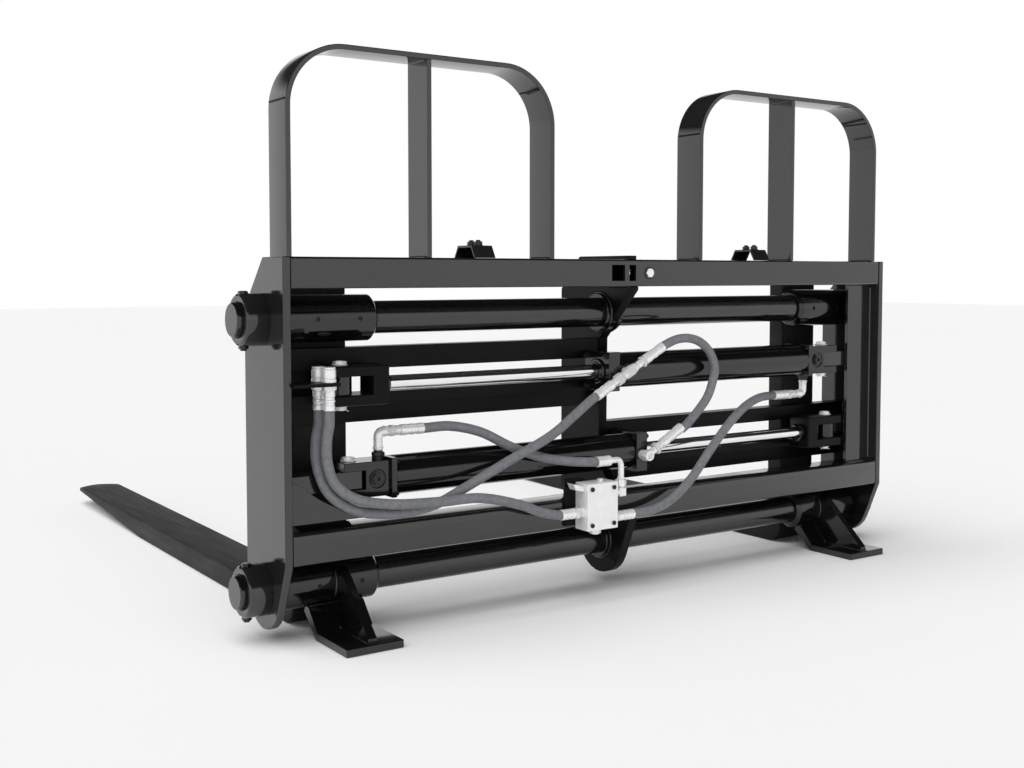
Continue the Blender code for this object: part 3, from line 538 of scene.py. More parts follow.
def guard_hoop(side):
    """A bar's rounded section carried along an inverted U, and a strut under its middle."""
    name = "guard_hoop_" + SIDE_NAMES[side]
    low, high = HOOP_SPANS[side]
    base, turn_z, under = FRAME_TOP + 0.0003, HOOP_TOP - HOOP_CORNER, HOOP_TOP - HOOP_BAR
    half, depth, middle = HOOP_BAR / 2, TUBE_DEPTH, (low + high) / 2
    path = np.vstack([[(low + half, base)],
                      arc((low + HOOP_CORNER, turn_z), HOOP_CORNER - half, 180, 90, 24),
                      arc((high - HOOP_CORNER, turn_z), HOOP_CORNER - half, 90, 0, 24),
                      [(high - half, base)]])
    tangent = unit(np.vstack([path[1] - path[0], path[2:] - path[:-2], path[-1] - path[-2]]))
    outward = np.stack([-tangent[:, 1], tangent[:, 0]], axis=1)
    section = rounded([(-half, 0), (half, 0), (half, depth), (-half, depth)], 0.0022, 4, closed=True)
    place = path[:, None] + outward[:, None] * section[None, :, :1]
    across = np.broadcast_to(section[None, :, 1:], place.shape[:2] + (1,))
    grid = np.concatenate([place[..., :1], across, place[..., 1:]], axis=2)
    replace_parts(skin(name + "_bar", grid, "frame", FRAME_PAINT), name)
    strut_low, strut_high = (middle - half, 0.0008, base), (middle + half, depth - 0.0008, under + 0.0005)
    block(name + "_strut", strut_low, strut_high, "frame", FRAME_PAINT)

    def bead(part, x, z, inset, finish=FRAME_PAINT, size=WELD_SIZE):
        """A weld from front to rear across the bar."""
        weld(f"{name}_{part}", straight((x, inset, z), (x, depth - inset, z)), "frame", finish, size)

    for i, x in enumerate((low, low + HOOP_BAR, middle - half, middle + half, high - HOOP_BAR, high)):
        if abs(x) < INNER:
            bead(f"foot_weld_{i}", x, base, 0.006)
    seams = ((high - HOOP_CORNER, HOOP_CORNER - HOOP_BAR, 42), (low + HOOP_CORNER, HOOP_CORNER, 174))
    for i, (centre_x, radius, angle) in enumerate(seams):
        (x, z), = arc((centre_x, turn_z), radius, angle, angle, 0)
        bead(f"seam_{i}", x, z, 0.002, DEEP_BLACK, 0.0024)
    for i, x in enumerate((middle - half, middle + half)):
        bead(f"strut_weld_{i}", x, under, 0.008, size=0.0035)


def saddle_clip(side):
    """The hat section over the tube, and two hexagon bolts on its crown."""
    name = "saddle_clip_" + SIDE_NAMES[side]
    refined(name, "frame", FRAME_PAINT, 0.0016, 3)
    bolt = [(0.0125, 0.0022), (0.019, 0.0085, "hex"), (0.0062, 0.004)]
    for i, y in enumerate((0.034, 0.068)):
        fitting(f"{name}_bolt_{i}", bolt, (side * CLIP_X, y, CLIP_TOP), Z_AXIS, "frame", OXIDE)


def tube_bolt():
    """The bright hexagon in its dark hole beside the pockets of the top tube."""
    zinc_fitting("top_tube_bolt", [(0.024, 0.006, "hex"), (0.009, 0.001)],
                 (TUBE_BOLT_X, 0.0012, TUBE_BOLT_Z), REARWARD)
    turned("top_tube_washer", [(0.0185, 0.0004), (0.0185, 0.0016), (0.01, 0.0018)],
           (TUBE_BOLT_X, 0.0, TUBE_BOLT_Z), REARWARD, "frame", OXIDE, 48)


def centre_bosses():
    """Turned rings round both shafts at the centre plate, each with a bead where it meets the plate."""
    profile = [(0.0431, 0.029), (0.0535, 0.029), (0.0556, 0.027), (0.0556, -0.027),
               (0.0535, -0.029), (0.0431, -0.029)]
    for row, z in SHAFT_HEIGHTS.items():
        name = f"centre_{row}_ring"
        turned(name, profile, (0, SHAFT_Y, z), X_AXIS, "frame", GLOSS_BLACK, closed=True)
        for i, x in enumerate((-CENTRE_PLATE_EDGE, CENTRE_PLATE_EDGE)):
            ring = arc((SHAFT_Y, z), 0.0568, 0, 352, 180)
            weld(f"{name}_weld_{i}", np.insert(ring, 0, x, axis=1), "frame", GLOSS_BLACK, 0.0036)


def frame_welds():
    """Beads where the tubes, upright, gusset, tongues and rails meet the plates."""
    runs = []
    for side in (LEFT, RIGHT):
        x = side * INNER
        for z in (TOP_TUBE_BOTTOM, BOTTOM_TUBE_TOP):
            runs.append(((x, 0.004, z), (x, TUBE_DEPTH - 0.002, z)))
        for z, up in ((TOP_TUBE_BOTTOM, 1), (BOTTOM_TUBE_TOP, -1)):
            runs.append(((x, TUBE_DEPTH, z + up * 0.004), (x, TUBE_DEPTH, z + up * 0.07)))
        height = next(h for h, base_side in CYLINDERS.values() if base_side == side)
        for z in (height - 0.0225, height + 0.0225):
            runs.append(((x, 0.053, z), (x, 0.107, z)))
        runs.append(((x, 0.05, height - 0.02), (x, 0.05, height + 0.02)))
    for height, base_side in CYLINDERS.values():
        x = -base_side * INNER
        for low, high in ((0.037, 0.078), (-0.054, -0.032)):
            runs.append(((x, 0.1446, height + low), (x, 0.1446, height + high)))
    for z in (BOTTOM_TUBE_TOP, TOP_TUBE_BOTTOM):
        runs.append(((UPRIGHT_X[0], 0.036, z), (UPRIGHT_X[1], 0.036, z)))
    runs += [((INNER, 0.036, BOTTOM_TUBE_TOP + 0.004), (INNER, 0.036, TOP_TUBE_BOTTOM - 0.004)),
             ((-INNER, 0.02, 0.306), (-INNER, 0.02, 0.404))]
    for x in (-CENTRE_PLATE_EDGE, CENTRE_PLATE_EDGE):
        runs += [((x, 0.013, FRAME_TOP), (x, 0.099, FRAME_TOP)),
                 ((x, 0.006, TOP_TUBE_BOTTOM), (x, 0.099, TOP_TUBE_BOTTOM)),
                 ((x, TUBE_DEPTH, TOP_TUBE_BOTTOM + 0.004), (x, TUBE_DEPTH, FRAME_TOP - 0.004)),
                 ((x, TUBE_DEPTH, 0.211), (x, TUBE_DEPTH, 0.279)),
                 ((x, 0.006, 0.2068), (x, 0.099, 0.2068))]
    for i, (start, end) in enumerate(runs):
        weld(f"frame_weld_{i}", straight(start, end), "frame", FRAME_PAINT)


# ---------------- shafts and collars
COLLAR_GAP = 0.0003
COLLAR_RADIUS, COLLAR_LENGTH = 0.0645, 0.058
OUTER_BOLT = 0.043


def cross_bolt(name, place, seat, head, nut, body, finish):
    """An upright bolt's head above a place and its nut below, each as far from it as the seat."""
    place = np.array(place)
    top = fitting(name + "_head", head, place + (0, 0, seat), Z_AXIS, body, finish)
    fitting(name + "_nut", nut, place - (0, 0, seat), DOWN, body, finish)
    return top


def shafts_and_collars():
    """Each shaft as one turned bar with chamfered ends, and a collar on both of its ends."""
    reach, edge = HALF + 0.074, 0.003
    for row, z in SHAFT_HEIGHTS.items():
        profile = [(SHAFT_RADIUS - edge, reach), (SHAFT_RADIUS, reach - edge), (SHAFT_RADIUS, edge - reach),
                   (SHAFT_RADIUS - edge, -reach)]
        shaft = turned(row + "_shaft_finished", profile, (0, SHAFT_Y, z), X_AXIS, "frame", SHAFT_STEEL, 96)
        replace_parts(shaft, row + "_shaft")
        for side in (LEFT, RIGHT):
            collar(row, side, z)


def collar(row, side, z):
    """A chamfered ring with two bolt seats in its rim."""
    name = f"{row}_collar_{SIDE_NAMES[side]}"
    bore, reach = SHAFT_RADIUS + 0.0003, COLLAR_LENGTH
    outline = [(COLLAR_RADIUS - 0.005, reach), (COLLAR_RADIUS, reach - 0.005), (COLLAR_RADIUS, 0.0),
               (bore, 0.0), (bore, reach - 0.003), (bore + 0.003, reach)]
    start = (side * (HALF + COLLAR_GAP), SHAFT_Y, z)
    ring = turned(name + "_ring", rounded(outline, 0.0009, 2, closed=True), start, (side, 0, 0), "frame",
                  FRAME_PAINT, 120, closed=True)
    x = side * (HALF + OUTER_BOLT)
    drilled(ring, *[((x, SHAFT_Y, z + up * 0.069), Z_AXIS, 0.0175, 0.011) for up in (-1, 1)])
    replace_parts(ring, name)
    head = [(0.0128, 0.0018), (0.0215, 0.0095, "hex"), (0.0088, 0.001)]
    nut = [(0.0128, 0.0018), (0.0215, 0.011, "hex"), (0.0078, 0.0045)]
    bolt = cross_bolt(name + "_bolt", (x, SHAFT_Y, z), 0.058, head, nut, "frame", OXIDE)
    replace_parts(bolt, f"{row}_collar_bolt_{SIDE_NAMES[side]}")


# ---------------- forks
FORK_HALF = 0.077
SHANK_REAR, SHANK_FRONT = 0.2003, 0.2603
BLADE_TOP = 0.0635
HEEL_RADIUS, INNER_FILLET = 0.06, 0.03
SHANK_TOP = 0.885
TAPER_START, FORK_REACH = 1.49, 2.29
TIP_THICKNESS, TIP_BOW = 0.012, 0.04
SLEEVE_RADIUS = 0.06


def fork(side):
    """A rounded rectangle carried down the shank, round the heel and out along the blade.

    Station by station it spans from an outer point to an inner one; near the tip the half width is
    half * sqrt((reach - y) / bow), which bows the tip in plan."""
    shank = np.linspace(SHANK_TOP, BLADE_TOP + INNER_FILLET, 12)
    outer_shank = np.stack([np.full(12, SHANK_REAR), shank], axis=1)
    inner_shank = np.stack([np.full(12, SHANK_FRONT), shank], axis=1)
    outer_heel = arc((SHANK_REAR + HEEL_RADIUS, HEEL_RADIUS), HEEL_RADIUS, 180, 270, 20)
    inner_heel = arc((SHANK_FRONT + INNER_FILLET, BLADE_TOP + INNER_FILLET), INNER_FILLET, 180, 270, 20)
    bow_start = FORK_REACH - TIP_BOW
    y = np.concatenate([np.linspace(SHANK_FRONT + INNER_FILLET + 0.02, bow_start, 40),
                        FORK_REACH - TIP_BOW * np.linspace(0.97, 0.05, 18) ** 2])
    rise = np.clip((y - TAPER_START) / (FORK_REACH - TAPER_START), 0, 1) * (BLADE_TOP - TIP_THICKNESS)
    outer = np.vstack([outer_shank, outer_heel, np.stack([y, rise], axis=1)])
    inner = np.vstack([inner_shank, inner_heel, np.stack([y, np.full(len(y), BLADE_TOP)], axis=1)])
    half = np.full(len(outer), FORK_HALF)
    near_tip = outer[:, 0] > bow_start
    half[near_tip] *= np.sqrt(np.clip((FORK_REACH - outer[near_tip, 0]) / TIP_BOW, 0, 1))
    centre, across = (outer + inner) / 2, inner - outer
    thick = np.linalg.norm(across, axis=1)
    across = across / thick[:, None]
    edge = np.minimum(0.005, 0.45 * np.minimum(half * 2, thick))
    top_end = np.arange(len(outer)) == 0
    shrink = np.where(top_end, 0.002, 0.0)
    corner_x, corner_t = np.array([1, -1, -1, 1]), np.array([1, 1, -1, -1])
    turn = np.radians(np.concatenate([np.linspace(a, a + 90, 5) for a in (0, 90, 180, 270)]))
    which = np.repeat(np.arange(4), 5)
    x = (half - edge - shrink)[:, None] * corner_x[which] + edge[:, None] * np.cos(turn)
    t = (thick / 2 - edge - shrink)[:, None] * corner_t[which] + edge[:, None] * np.sin(turn)
    place = centre[:, None] + across[:, None] * t[..., None]
    grid = np.stack([side * FORK_X + x, place[..., 0], place[..., 1]], axis=2)
    lower = grid[:1] + (grid[1:2] - grid[:1]) * (1, 1, 0) - (0, 0, 0.002)
    grid = np.concatenate([grid[:1], lower, grid[1:]])
    name = "fork_" + SIDE_NAMES[side]
    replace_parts(skin(name + "_finished", grid, CARRIAGES[side], FORK_STEEL), name)
    for row, z in SHAFT_HEIGHTS.items():
        for part, up in (("top", 1), ("bottom", -1)):
            saddle(f"{name}_{row}_saddle_{part}", side, z, up)


def across_fork(side, half, y, z):
    """Evenly spaced points across a fork, half to each side of its middle."""
    middle = side * FORK_X
    return straight((middle - half, y, z), (middle + half, y, z))


def saddle(name, side, z, up):
    """A wedge that fills the corner between a sleeve and the shank, with a bead at both of its edges."""
    body, back = CARRIAGES[side], SHANK_REAR + 0.0002
    angles = (48.3, 4) if up > 0 else (-4, -48.3)
    curve = arc((SHAFT_Y, z), SLEEVE_RADIUS + 0.0003, *angles, 10)
    wedge = np.vstack([curve, [(back, curve[-1, 1]), (back, curve[0, 1])]])
    prism(name, wedge, "X", side * FORK_X - 0.071, side * FORK_X + 0.071, body, FORK_STEEL, 0.001)
    edge_y, edge_z = SHAFT_Y + 0.0402, z + up * 0.0452
    weld(name + "_weld", across_fork(side, 0.07, edge_y, edge_z), body, FORK_STEEL, 0.005)
    weld(name + "_shank_weld", across_fork(side, 0.07, SHANK_REAR, edge_z), body, FORK_STEEL, 0.0045)


def sleeve(side, row, z):
    """A thick tube with chamfered ends and two tapped holes behind, each with a socket screw sunk in it."""
    start, end, edge = 0.769, 1.036, 0.007
    bore = SHAFT_RADIUS + 0.0007
    outline = [(SLEEVE_RADIUS - edge, end), (SLEEVE_RADIUS, end - edge), (SLEEVE_RADIUS, start + 0.011),
               (SLEEVE_RADIUS - 0.011, start), (bore, start), (bore, end)]
    name, body = f"{row}_sleeve_{SIDE_NAMES[side]}", CARRIAGES[side]
    tube_part = turned(name + "_finished", rounded(outline, 0.0008, 2, closed=True), (0, SHAFT_Y, z),
                       (side, 0, 0), body, GLOSS_BLACK, 96, closed=True)
    rear = SHAFT_Y - SLEEVE_RADIUS
    holes = [((side * x, rear, z), Y_AXIS, 0.0062, 0.009) for x in (0.825, 0.941)]
    drilled(tube_part, *holes)
    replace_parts(tube_part, name)
    for i, (place, *_) in enumerate(holes):
        profile = [(0.0028, 0.004), (0.0028, 0.0005), (0.0057, 0.0), (0.006, 0.0008), (0.006, 0.005)]
        turned(f"{name}_screw_{i}", profile, (place[0], rear + 0.0045, z), Y_AXIS, body, OXIDE, 24)


def fork_lug(side):
    """The tongue behind the shank that the rod pulls on, and the beads above and below it."""
    name, body = "fork_lug_" + SIDE_NAMES[side], CARRIAGES[side]
    refined(name, body, GLOSS_BLACK, 0.002, 3)
    z = CYLINDERS["upper" if side == LEFT else "lower"][0]
    for i, up in enumerate((-1, 1)):
        weld(f"{name}_weld_{i}", across_fork(side, 0.029, SHANK_REAR, z + up * 0.0228), body, GLOSS_BLACK)


def stand_foot(side):
    """The foot under the lower sleeve, with beads along its web, round its saddle and along its plate."""
    name, body = "stand_foot_" + SIDE_NAMES[side], CARRIAGES[side]
    z = SHAFT_HEIGHTS["lower"]
    refined(name, body, GLOSS_BLACK, 0.0015, 2)
    web = [(-0.086, 0.0202), (0.056, 0.0202), (0.105, 0.0715)]
    for i, near in enumerate((side * FORK_X - 0.0122, side * FORK_X + 0.0122)):
        for j, (start, end) in enumerate(zip(web, web[1:])):
            edge = straight((near, *start), (near, *end))
            weld(f"{name}_web_weld_{i}{j}", edge, body, GLOSS_BLACK, 0.0038)
        ring = arc((SHAFT_Y, z), SLEEVE_RADIUS, 142, 214, 60)
        weld(f"{name}_sleeve_weld_{i}", np.insert(ring, 0, near, axis=1), body, GLOSS_BLACK, 0.004)
    (plate_y, plate_z), = arc((SHAFT_Y, z), 0.0602, 246, 246, 0)
    weld(f"{name}_plate_weld_0", across_fork(side, 0.074, plate_y, plate_z), body, GLOSS_BLACK, 0.0045)


# ---------------- cylinders
BARREL_RADIUS = 0.051
BASE_HALF, CLEVIS_HALF = 0.045, 0.05
SLOT_HALF = 0.0232
BASE_PIN_X = 0.862
PORT_X, PORT_HALF = 0.777, 0.0165
PORT_SIDES = {"upper": -1, "lower": 1}
PORT_HEIGHTS = {"upper": 0.11, "lower": 0.113}
CORNERS = ((-1, -1), (-1, 1), (1, -1), (1, 1))


def square(z, half):
    """A square's corners round a cylinder's axis."""
    return np.array([(-half, -half), (half, -half), (half, half), (-half, half)]) + (CYLINDER_Y, z)


def port_end(row):
    """The height of the hose end at a cylinder's base."""
    return CYLINDERS[row][0] + PORT_SIDES[row] * PORT_HEIGHTS[row]


def cylinder(row):
    """The barrel with its square base flange, then the base clevis, gland, rod and rod clevis."""
    z, side = CYLINDERS[row]
    axis_point, away, moving = (0, CYLINDER_Y, z), (side, 0, 0), row_carriage(row)
    name, face = row + "_barrel", 0.749
    outline = [(0.0445, 0.705), (0.0445, -0.0307), (0.05, -0.0307), (BARREL_RADIUS, -0.0297),
               (BARREL_RADIUS, face)]
    barrel = turned(name + "_finished", outline, axis_point, away, "frame", GLOSS_BLACK, 96)
    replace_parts(barrel, name)
    near, far = sorted((side * face, side * 0.764))
    prism(name + "_flange", square(z, BARREL_RADIUS), "X", near, far, "frame", GLOSS_BLACK, 0.0018, 3)
    bolt = [(0.0078, 0.0012), (0.0125, 0.006, "hex")]
    for i, (y, up) in enumerate(CORNERS):
        place = (side * face, CYLINDER_Y + y * 0.041, z + up * 0.041)
        fitting(f"{name}_flange_bolt_{i}", bolt, place, (-side, 0, 0), "frame", OXIDE, 36)
    base_clevis(row, z, side)
    gland(row, z, side)
    rod_profile = [(0.044, 0.031), (0.044, 0.001), (0.019, 0.001), (0.019, -0.7625)]
    rod = turned(row + "_rod_finished", rod_profile, axis_point, away, moving, POLISHED, 72)
    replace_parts(rod, row + "_rod")
    refined(row + "_rod_clevis", moving, DEEP_BLACK, 0.0022, 3)
    collar_profile = [(0.0255, 0.0), (0.0275, 0.002), (0.0275, 0.01), (0.024, 0.012)]
    collar_place = (-side * 0.763, CYLINDER_Y, z)
    turned(row + "_rod_collar", collar_profile, collar_place, away, moving, GLOSS_BLACK, 60)


def row_carriage(row):
    """The carriage that a cylinder's rod moves."""
    return CARRIAGES[-CYLINDERS[row][1]]


def base_clevis(row, z, side):
    """The forked base block with its port post, plug and cross hole."""
    outline = np.array([(0.7635, -BASE_HALF), (0.892, -BASE_HALF), (0.892, -SLOT_HALF), (0.832, -SLOT_HALF),
                        (0.832, SLOT_HALF), (0.892, SLOT_HALF), (0.892, BASE_HALF), (0.7635, BASE_HALF)])
    outline = outline * (side, 1) + (0, z)
    name = row + "_base_clevis"
    clevis = prism(name, outline, "Y", 0.04, 0.12, "frame", GLOSS_BLACK, bevel=0)
    drilled(clevis, ((side * BASE_PIN_X, CYLINDER_Y, z), Z_AXIS, 0.0163, 0.08),
            ((side * 0.8, 0.04, z), Y_AXIS, 0.0235, 0.0035))
    soften(clevis, 0.002, 2)
    plug = [(0.019, 0.003), (0.027, 0.0045, "hex"), (0.0098, 0.001)]
    plug_piece = fitting(name + "_plug", plug, (side * 0.8, 0.043, z), REARWARD, "frame", OXIDE)
    drilled(plug_piece, ((side * 0.8, 0.0345, z), Y_AXIS, 0.0052, 0.005))
    port_elbow(row, z, side)


def port_elbow(row, z, side):
    """A threaded boss and lock nut on the base, and a bright elbow from it round to the hose's fitting."""
    up = PORT_SIDES[row]
    place = (side * PORT_X, CYLINDER_Y, z + up * 0.044)
    boss = [(0.0165, 0.008), (0.029, 0.01, "hex"), (0.012, 0.006)]
    fitting(row + "_port_boss", boss, place, (0, 0, up), "frame", OXIDE)
    end = port_end(row)
    bend = rounded([(side * PORT_X, CYLINDER_Y, z + up * 0.066), (side * PORT_X, CYLINDER_Y, end),
                    (side * (PORT_X - 0.03), CYLINDER_Y, end)], 0.016, 16)
    tube(row + "_port_elbow", bend, 0.0118, "frame", ZINC, 36)
    rim = [(0.014, 0.006)]
    zinc_fitting(row + "_port_collar", rim, (side * (PORT_X - 0.014), CYLINDER_Y, end), (-side, 0, 0))
    zinc_fitting(row + "_port_foot", rim, (side * PORT_X, CYLINDER_Y, z + up * 0.069), (0, 0, up))


def gland(row, z, side):
    """A square flange with a bolt at each corner, and a turned lip with a wiper round the rod."""
    name, inward = row + "_gland", (-side, 0, 0)
    near, far = sorted((-side * 0.0316, -side * 0.071))
    flange = prism(name + "_flange", square(z, 0.056), "X", near, far, "frame", GLOSS_BLACK, bevel=0)
    drilled(flange, ((-side * 0.051, CYLINDER_Y, z), X_AXIS, 0.0198, 0.05))
    soften(flange, 0.0022, 3)
    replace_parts(flange, name)
    bolt = [(0.0088, 0.0014), (0.014, 0.007, "hex"), (0.005, 0.004)]
    bolt_end = [(0.014, 0.003, "hex")]
    for i, (y, up) in enumerate(CORNERS):
        bolt_y, bolt_z = CYLINDER_Y + y * 0.0435, z + up * 0.0435
        head, back = (-side * 0.0709, bolt_y, bolt_z), (-side * 0.0317, bolt_y, bolt_z)
        fitting(f"{name}_bolt_{i}", bolt, head, inward, "frame", OXIDE, 36)
        fitting(f"{name}_bolt_end_{i}", bolt_end, back, (side, 0, 0), "frame", OXIDE, 36)
    lip = [(0.0198, 0.0), (0.036, 0.0), (0.036, 0.0045), (0.033, 0.0065), (0.027, 0.0065),
           (0.025, 0.0095), (0.0215, 0.0095), (0.0198, 0.006)]
    lip_place = (-side * 0.0707, CYLINDER_Y, z)
    turned(name + "_lip", lip, lip_place, inward, "frame", GLOSS_BLACK, 72, closed=True)


def clevis_pin(name, x, z, half, body):
    """A bright pin: washer and hexagon head above; washer, slotted nut and split pin below."""
    head = [(0.02, 0.0025), (0.03, 0.0075, "hex"), (0.011, 0.0012)]
    nut = [(0.02, 0.0025), (0.029, 0.007, "hex"), (0.012, 0.0035)]
    top = cross_bolt(name, (x, CYLINDER_Y, z), half, head, nut, body, ZINC)
    shank = [(0.015, half), (0.016, half - 0.001), (0.016, 0.001 - half), (0.015, -half)]
    turned(name + "_shank", shank, (x, CYLINDER_Y, z), Z_AXIS, body, ZINC, 48)
    low = z - half - 0.0112
    legs = np.array([(-0.02, -0.004, -0.002), (-0.012, 0, 0), (0.012, 0, 0), (0.019, -0.003, -0.003),
                     (0.02, -0.006, -0.004)]) + (x, CYLINDER_Y, low)
    tube(name + "_split_pin", smooth_route(legs, 0.003), 0.0015, body, ZINC, 10)
    return top


def clevis_pins():
    """A pin through each cylinder's base clevis and one through its rod clevis."""
    for row, (z, side) in CYLINDERS.items():
        base = clevis_pin(row + "_base_pin_finished", side * BASE_PIN_X, z, BASE_HALF + 0.0003, "frame")
        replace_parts(base, row + "_base_pin")
        rod = clevis_pin(row + "_rod_pin_finished", -side * FORK_X, z, CLEVIS_HALF + 0.0003,
                         row_carriage(row))
        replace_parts(rod, row + "_rod_pin")


# ---------------- hydraulics
PORT_Y = -0.04
ELBOW_X = -0.079
HOSE_RADIUS = 0.013
FERRULE = 0.0145
TEE_CENTRE = np.array([-0.014, 0.005, 0.629])
TEE_SLOPE = np.array([0.88, 0.0, 0.475])
COUPLERS = {1: (-0.948, 0.005), 2: (-0.959, 0.0405)}


def ferrule(length=0.046):
    """Crimped ferrule: a plain lip, the crimped middle with its two swaged grooves, and the hose end."""
    groove = length / 7
    return [(FERRULE, groove * 2), (FERRULE - 0.001, groove), (FERRULE, groove),
            (FERRULE - 0.001, groove), (FERRULE, groove * 2)]


def flow_divider():
    """The valve block with its cap screws, top plug, relief cartridge below and bright corner tab."""
    low, high = (-0.215, -0.066, 0.206), (-0.11, -0.0086, 0.335)
    valve = block("flow_divider_block", low, high, "frame", ALUMINIUM, 0.0022, 3)
    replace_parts(valve, "flow_divider")
    plug = [(0.01, 0.002), (0.015, 0.006, "hex")]
    zinc_fitting("flow_divider_plug", plug, (-0.15, -0.037, 0.3348), Z_AXIS)
    cartridge = [(0.017, 0.006), (0.029, 0.0075, "hex"), (0.011, 0.0022)]
    zinc_fitting("flow_divider_cartridge", cartridge, (-0.168, -0.037, 0.2062), DOWN)
    for i, (x, z) in enumerate(((-0.2, 0.32), (-0.125, 0.32), (-0.2, 0.221), (-0.125, 0.221))):
        screw = fitting(f"flow_divider_screw_{i}", [(0.0062, 0.005)], (x, -0.0658, z), REARWARD,
                        "frame", OXIDE, 36)
        drilled(screw, ((x, -0.071, z), Y_AXIS, 0.0028, 0.0028))
    tab = [(-0.252, 0.338), (-0.2155, 0.327), (-0.2155, 0.313), (-0.244, 0.32)]
    prism("flow_divider_tab", tab, "Y", -0.05, -0.02, "frame", ZINC, 0.001)


def fittings():
    """Swivel nuts, stems and ferrules at both ends of each hose."""
    stem, nut, neck = (0.0085, 0.005), (0.027, 0.0125, "hex"), (0.011, 0.006)
    zinc_fitting("supply_valve_fitting",
                 [(0.025, 0.008, "hex"), stem, nut, (0.011, 0.004), *ferrule(0.043)],
                 (-0.215, PORT_Y, 0.2555), (-1, 0, 0))
    zinc_fitting("upper_base_valve_fitting",
                 [(0.026, 0.011, "hex"), (0.0115, 0.005), *ferrule(0.058)],
                 (-0.11, PORT_Y, 0.232), X_AXIS)
    zinc_fitting("upper_base_fitting",
                 [(0.012, 0.02), (0.024, 0.011, "hex"), (0.009, 0.013), nut,
                  (0.011, 0.005), *ferrule(0.056)],
                 (PORT_X - PORT_HALF, CYLINDER_Y, port_end("upper")), (-1, 0, 0))
    zinc_fitting("lower_base_fitting",
                 [(0.024, 0.012, "hex"), (0.009, 0.004), nut, neck,
                  (0.013, 0.006), neck, *ferrule(0.068)],
                 (PORT_HALF - PORT_X, CYLINDER_Y, port_end("lower")), X_AXIS)
    valve_elbow()
    tee()
    gland_elbow()


def valve_elbow():
    """An elbow adapter in the valve's side, then a bent tube with its nut up to the hose's ferrule."""
    arm = [(0.025, 0.009, "hex"), (0.0098, 0.012)]
    body = zinc_fitting("valve_elbow_arm", arm, (-0.11, PORT_Y, 0.3), X_AXIS)
    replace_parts(body, "valve_elbow")
    low = (ELBOW_X - 0.0125, PORT_Y - 0.0115, 0.287)
    high = (ELBOW_X + 0.0115, PORT_Y + 0.0115, 0.312)
    block("valve_elbow_body", low, high, "frame", ZINC, 0.0035, 3)
    nut = [(0.0098, 0.005), (0.027, 0.018, "hex"), (0.0105, 0.006)]
    zinc_fitting("valve_elbow_nut", nut, (ELBOW_X, PORT_Y, 0.3115), Z_AXIS)
    bend = rounded([(ELBOW_X, PORT_Y, 0.336), (ELBOW_X, PORT_Y, 0.39), (-0.118, PORT_Y, 0.39)], 0.034, 16)
    tube("valve_elbow_tube", bend, 0.0082, "frame", ZINC, 32)
    end = [(0.011, 0.005), *ferrule(0.045)]
    zinc_fitting("lower_base_valve_ferrule", end, (-0.115, PORT_Y, 0.39), (-1, 0, 0))


def tee():
    """The tee's body with a branch into the upper barrel, and a nut, stem and ferrule out of each arm."""
    half = 0.026
    middle = [(0.013, 0.009), (0.027, 0.034, "hex"), (0.013, 0.009)]
    body = zinc_fitting("tee_body", middle, TEE_CENTRE - half * TEE_SLOPE, TEE_SLOPE)
    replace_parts(body, "tee_fitting")
    branch = [(0.01, 0.012), (0.022, 0.01, "hex"), (0.0095, 0.004)]
    zinc_fitting("tee_branch", branch, (TEE_CENTRE[0], 0.0035, TEE_CENTRE[2]), Y_AXIS)
    arms = {"lower": (-1, [(0.0085, 0.004), (0.029, 0.023, "hex"), (0.01, 0.006),
                           (0.012, 0.005), (0.0098, 0.007), *ferrule(0.062)]),
            "upper": (1, [(0.0085, 0.006), (0.011, 0.014), (0.009, 0.005),
                          (0.029, 0.008, "hex"), (0.0105, 0.004), *ferrule(0.078)])}
    for arm, (way, sections) in arms.items():
        zinc_fitting(f"tee_{arm}_arm", sections, TEE_CENTRE + way * half * TEE_SLOPE, way * TEE_SLOPE)


def gland_elbow():
    """The elbow on the lower gland: its body, the plug facing rearwards, and the arm up to the hose."""
    slope = np.array([0.87, 0.0, 0.493])
    arm_start = np.array([0.051, 0.002, 0.3832]) + 0.012 * slope
    place = (0.051, -0.013, 0.385)
    socket = [(0.015, 0.006), (0.03, 0.02, "hex"), (0.014, 0.016)]
    body = zinc_fitting("gland_elbow_body", socket, place, Y_AXIS)
    drilled(body, (place, Y_AXIS, 0.0095, 0.008))
    arm = [(0.0105, 0.022), (0.031, 0.012, "hex"), (0.012, 0.01),
           (0.0105, 0.006), *ferrule(0.088)]
    zinc_fitting("gland_elbow_arm", arm, arm_start, slope)


def coupler(number):
    """A quick coupler: ferrule and hexagon under the bracket, neck, sliding sleeve and nose above it."""
    x, y = COUPLERS[number]
    name = f"coupler_{number}"
    lower = [*ferrule(0.047), (0.015, 0.003), (0.031, 0.01, "hex")]
    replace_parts(zinc_fitting(name + "_stem", lower, (x, y, 0.576), Z_AXIS), name)
    upper = [(0.018, 0.009), (0.016, 0.002), (0.017, 0.021),
             (0.015, 0.0015), (0.016, 0.004)]
    zinc_fitting(name + "_sleeve", upper, (x, y, 0.6442), Z_AXIS)
    zinc_fitting(name + "_neck", [(0.0122, 0.009)], (x, y, 0.6355), Z_AXIS)


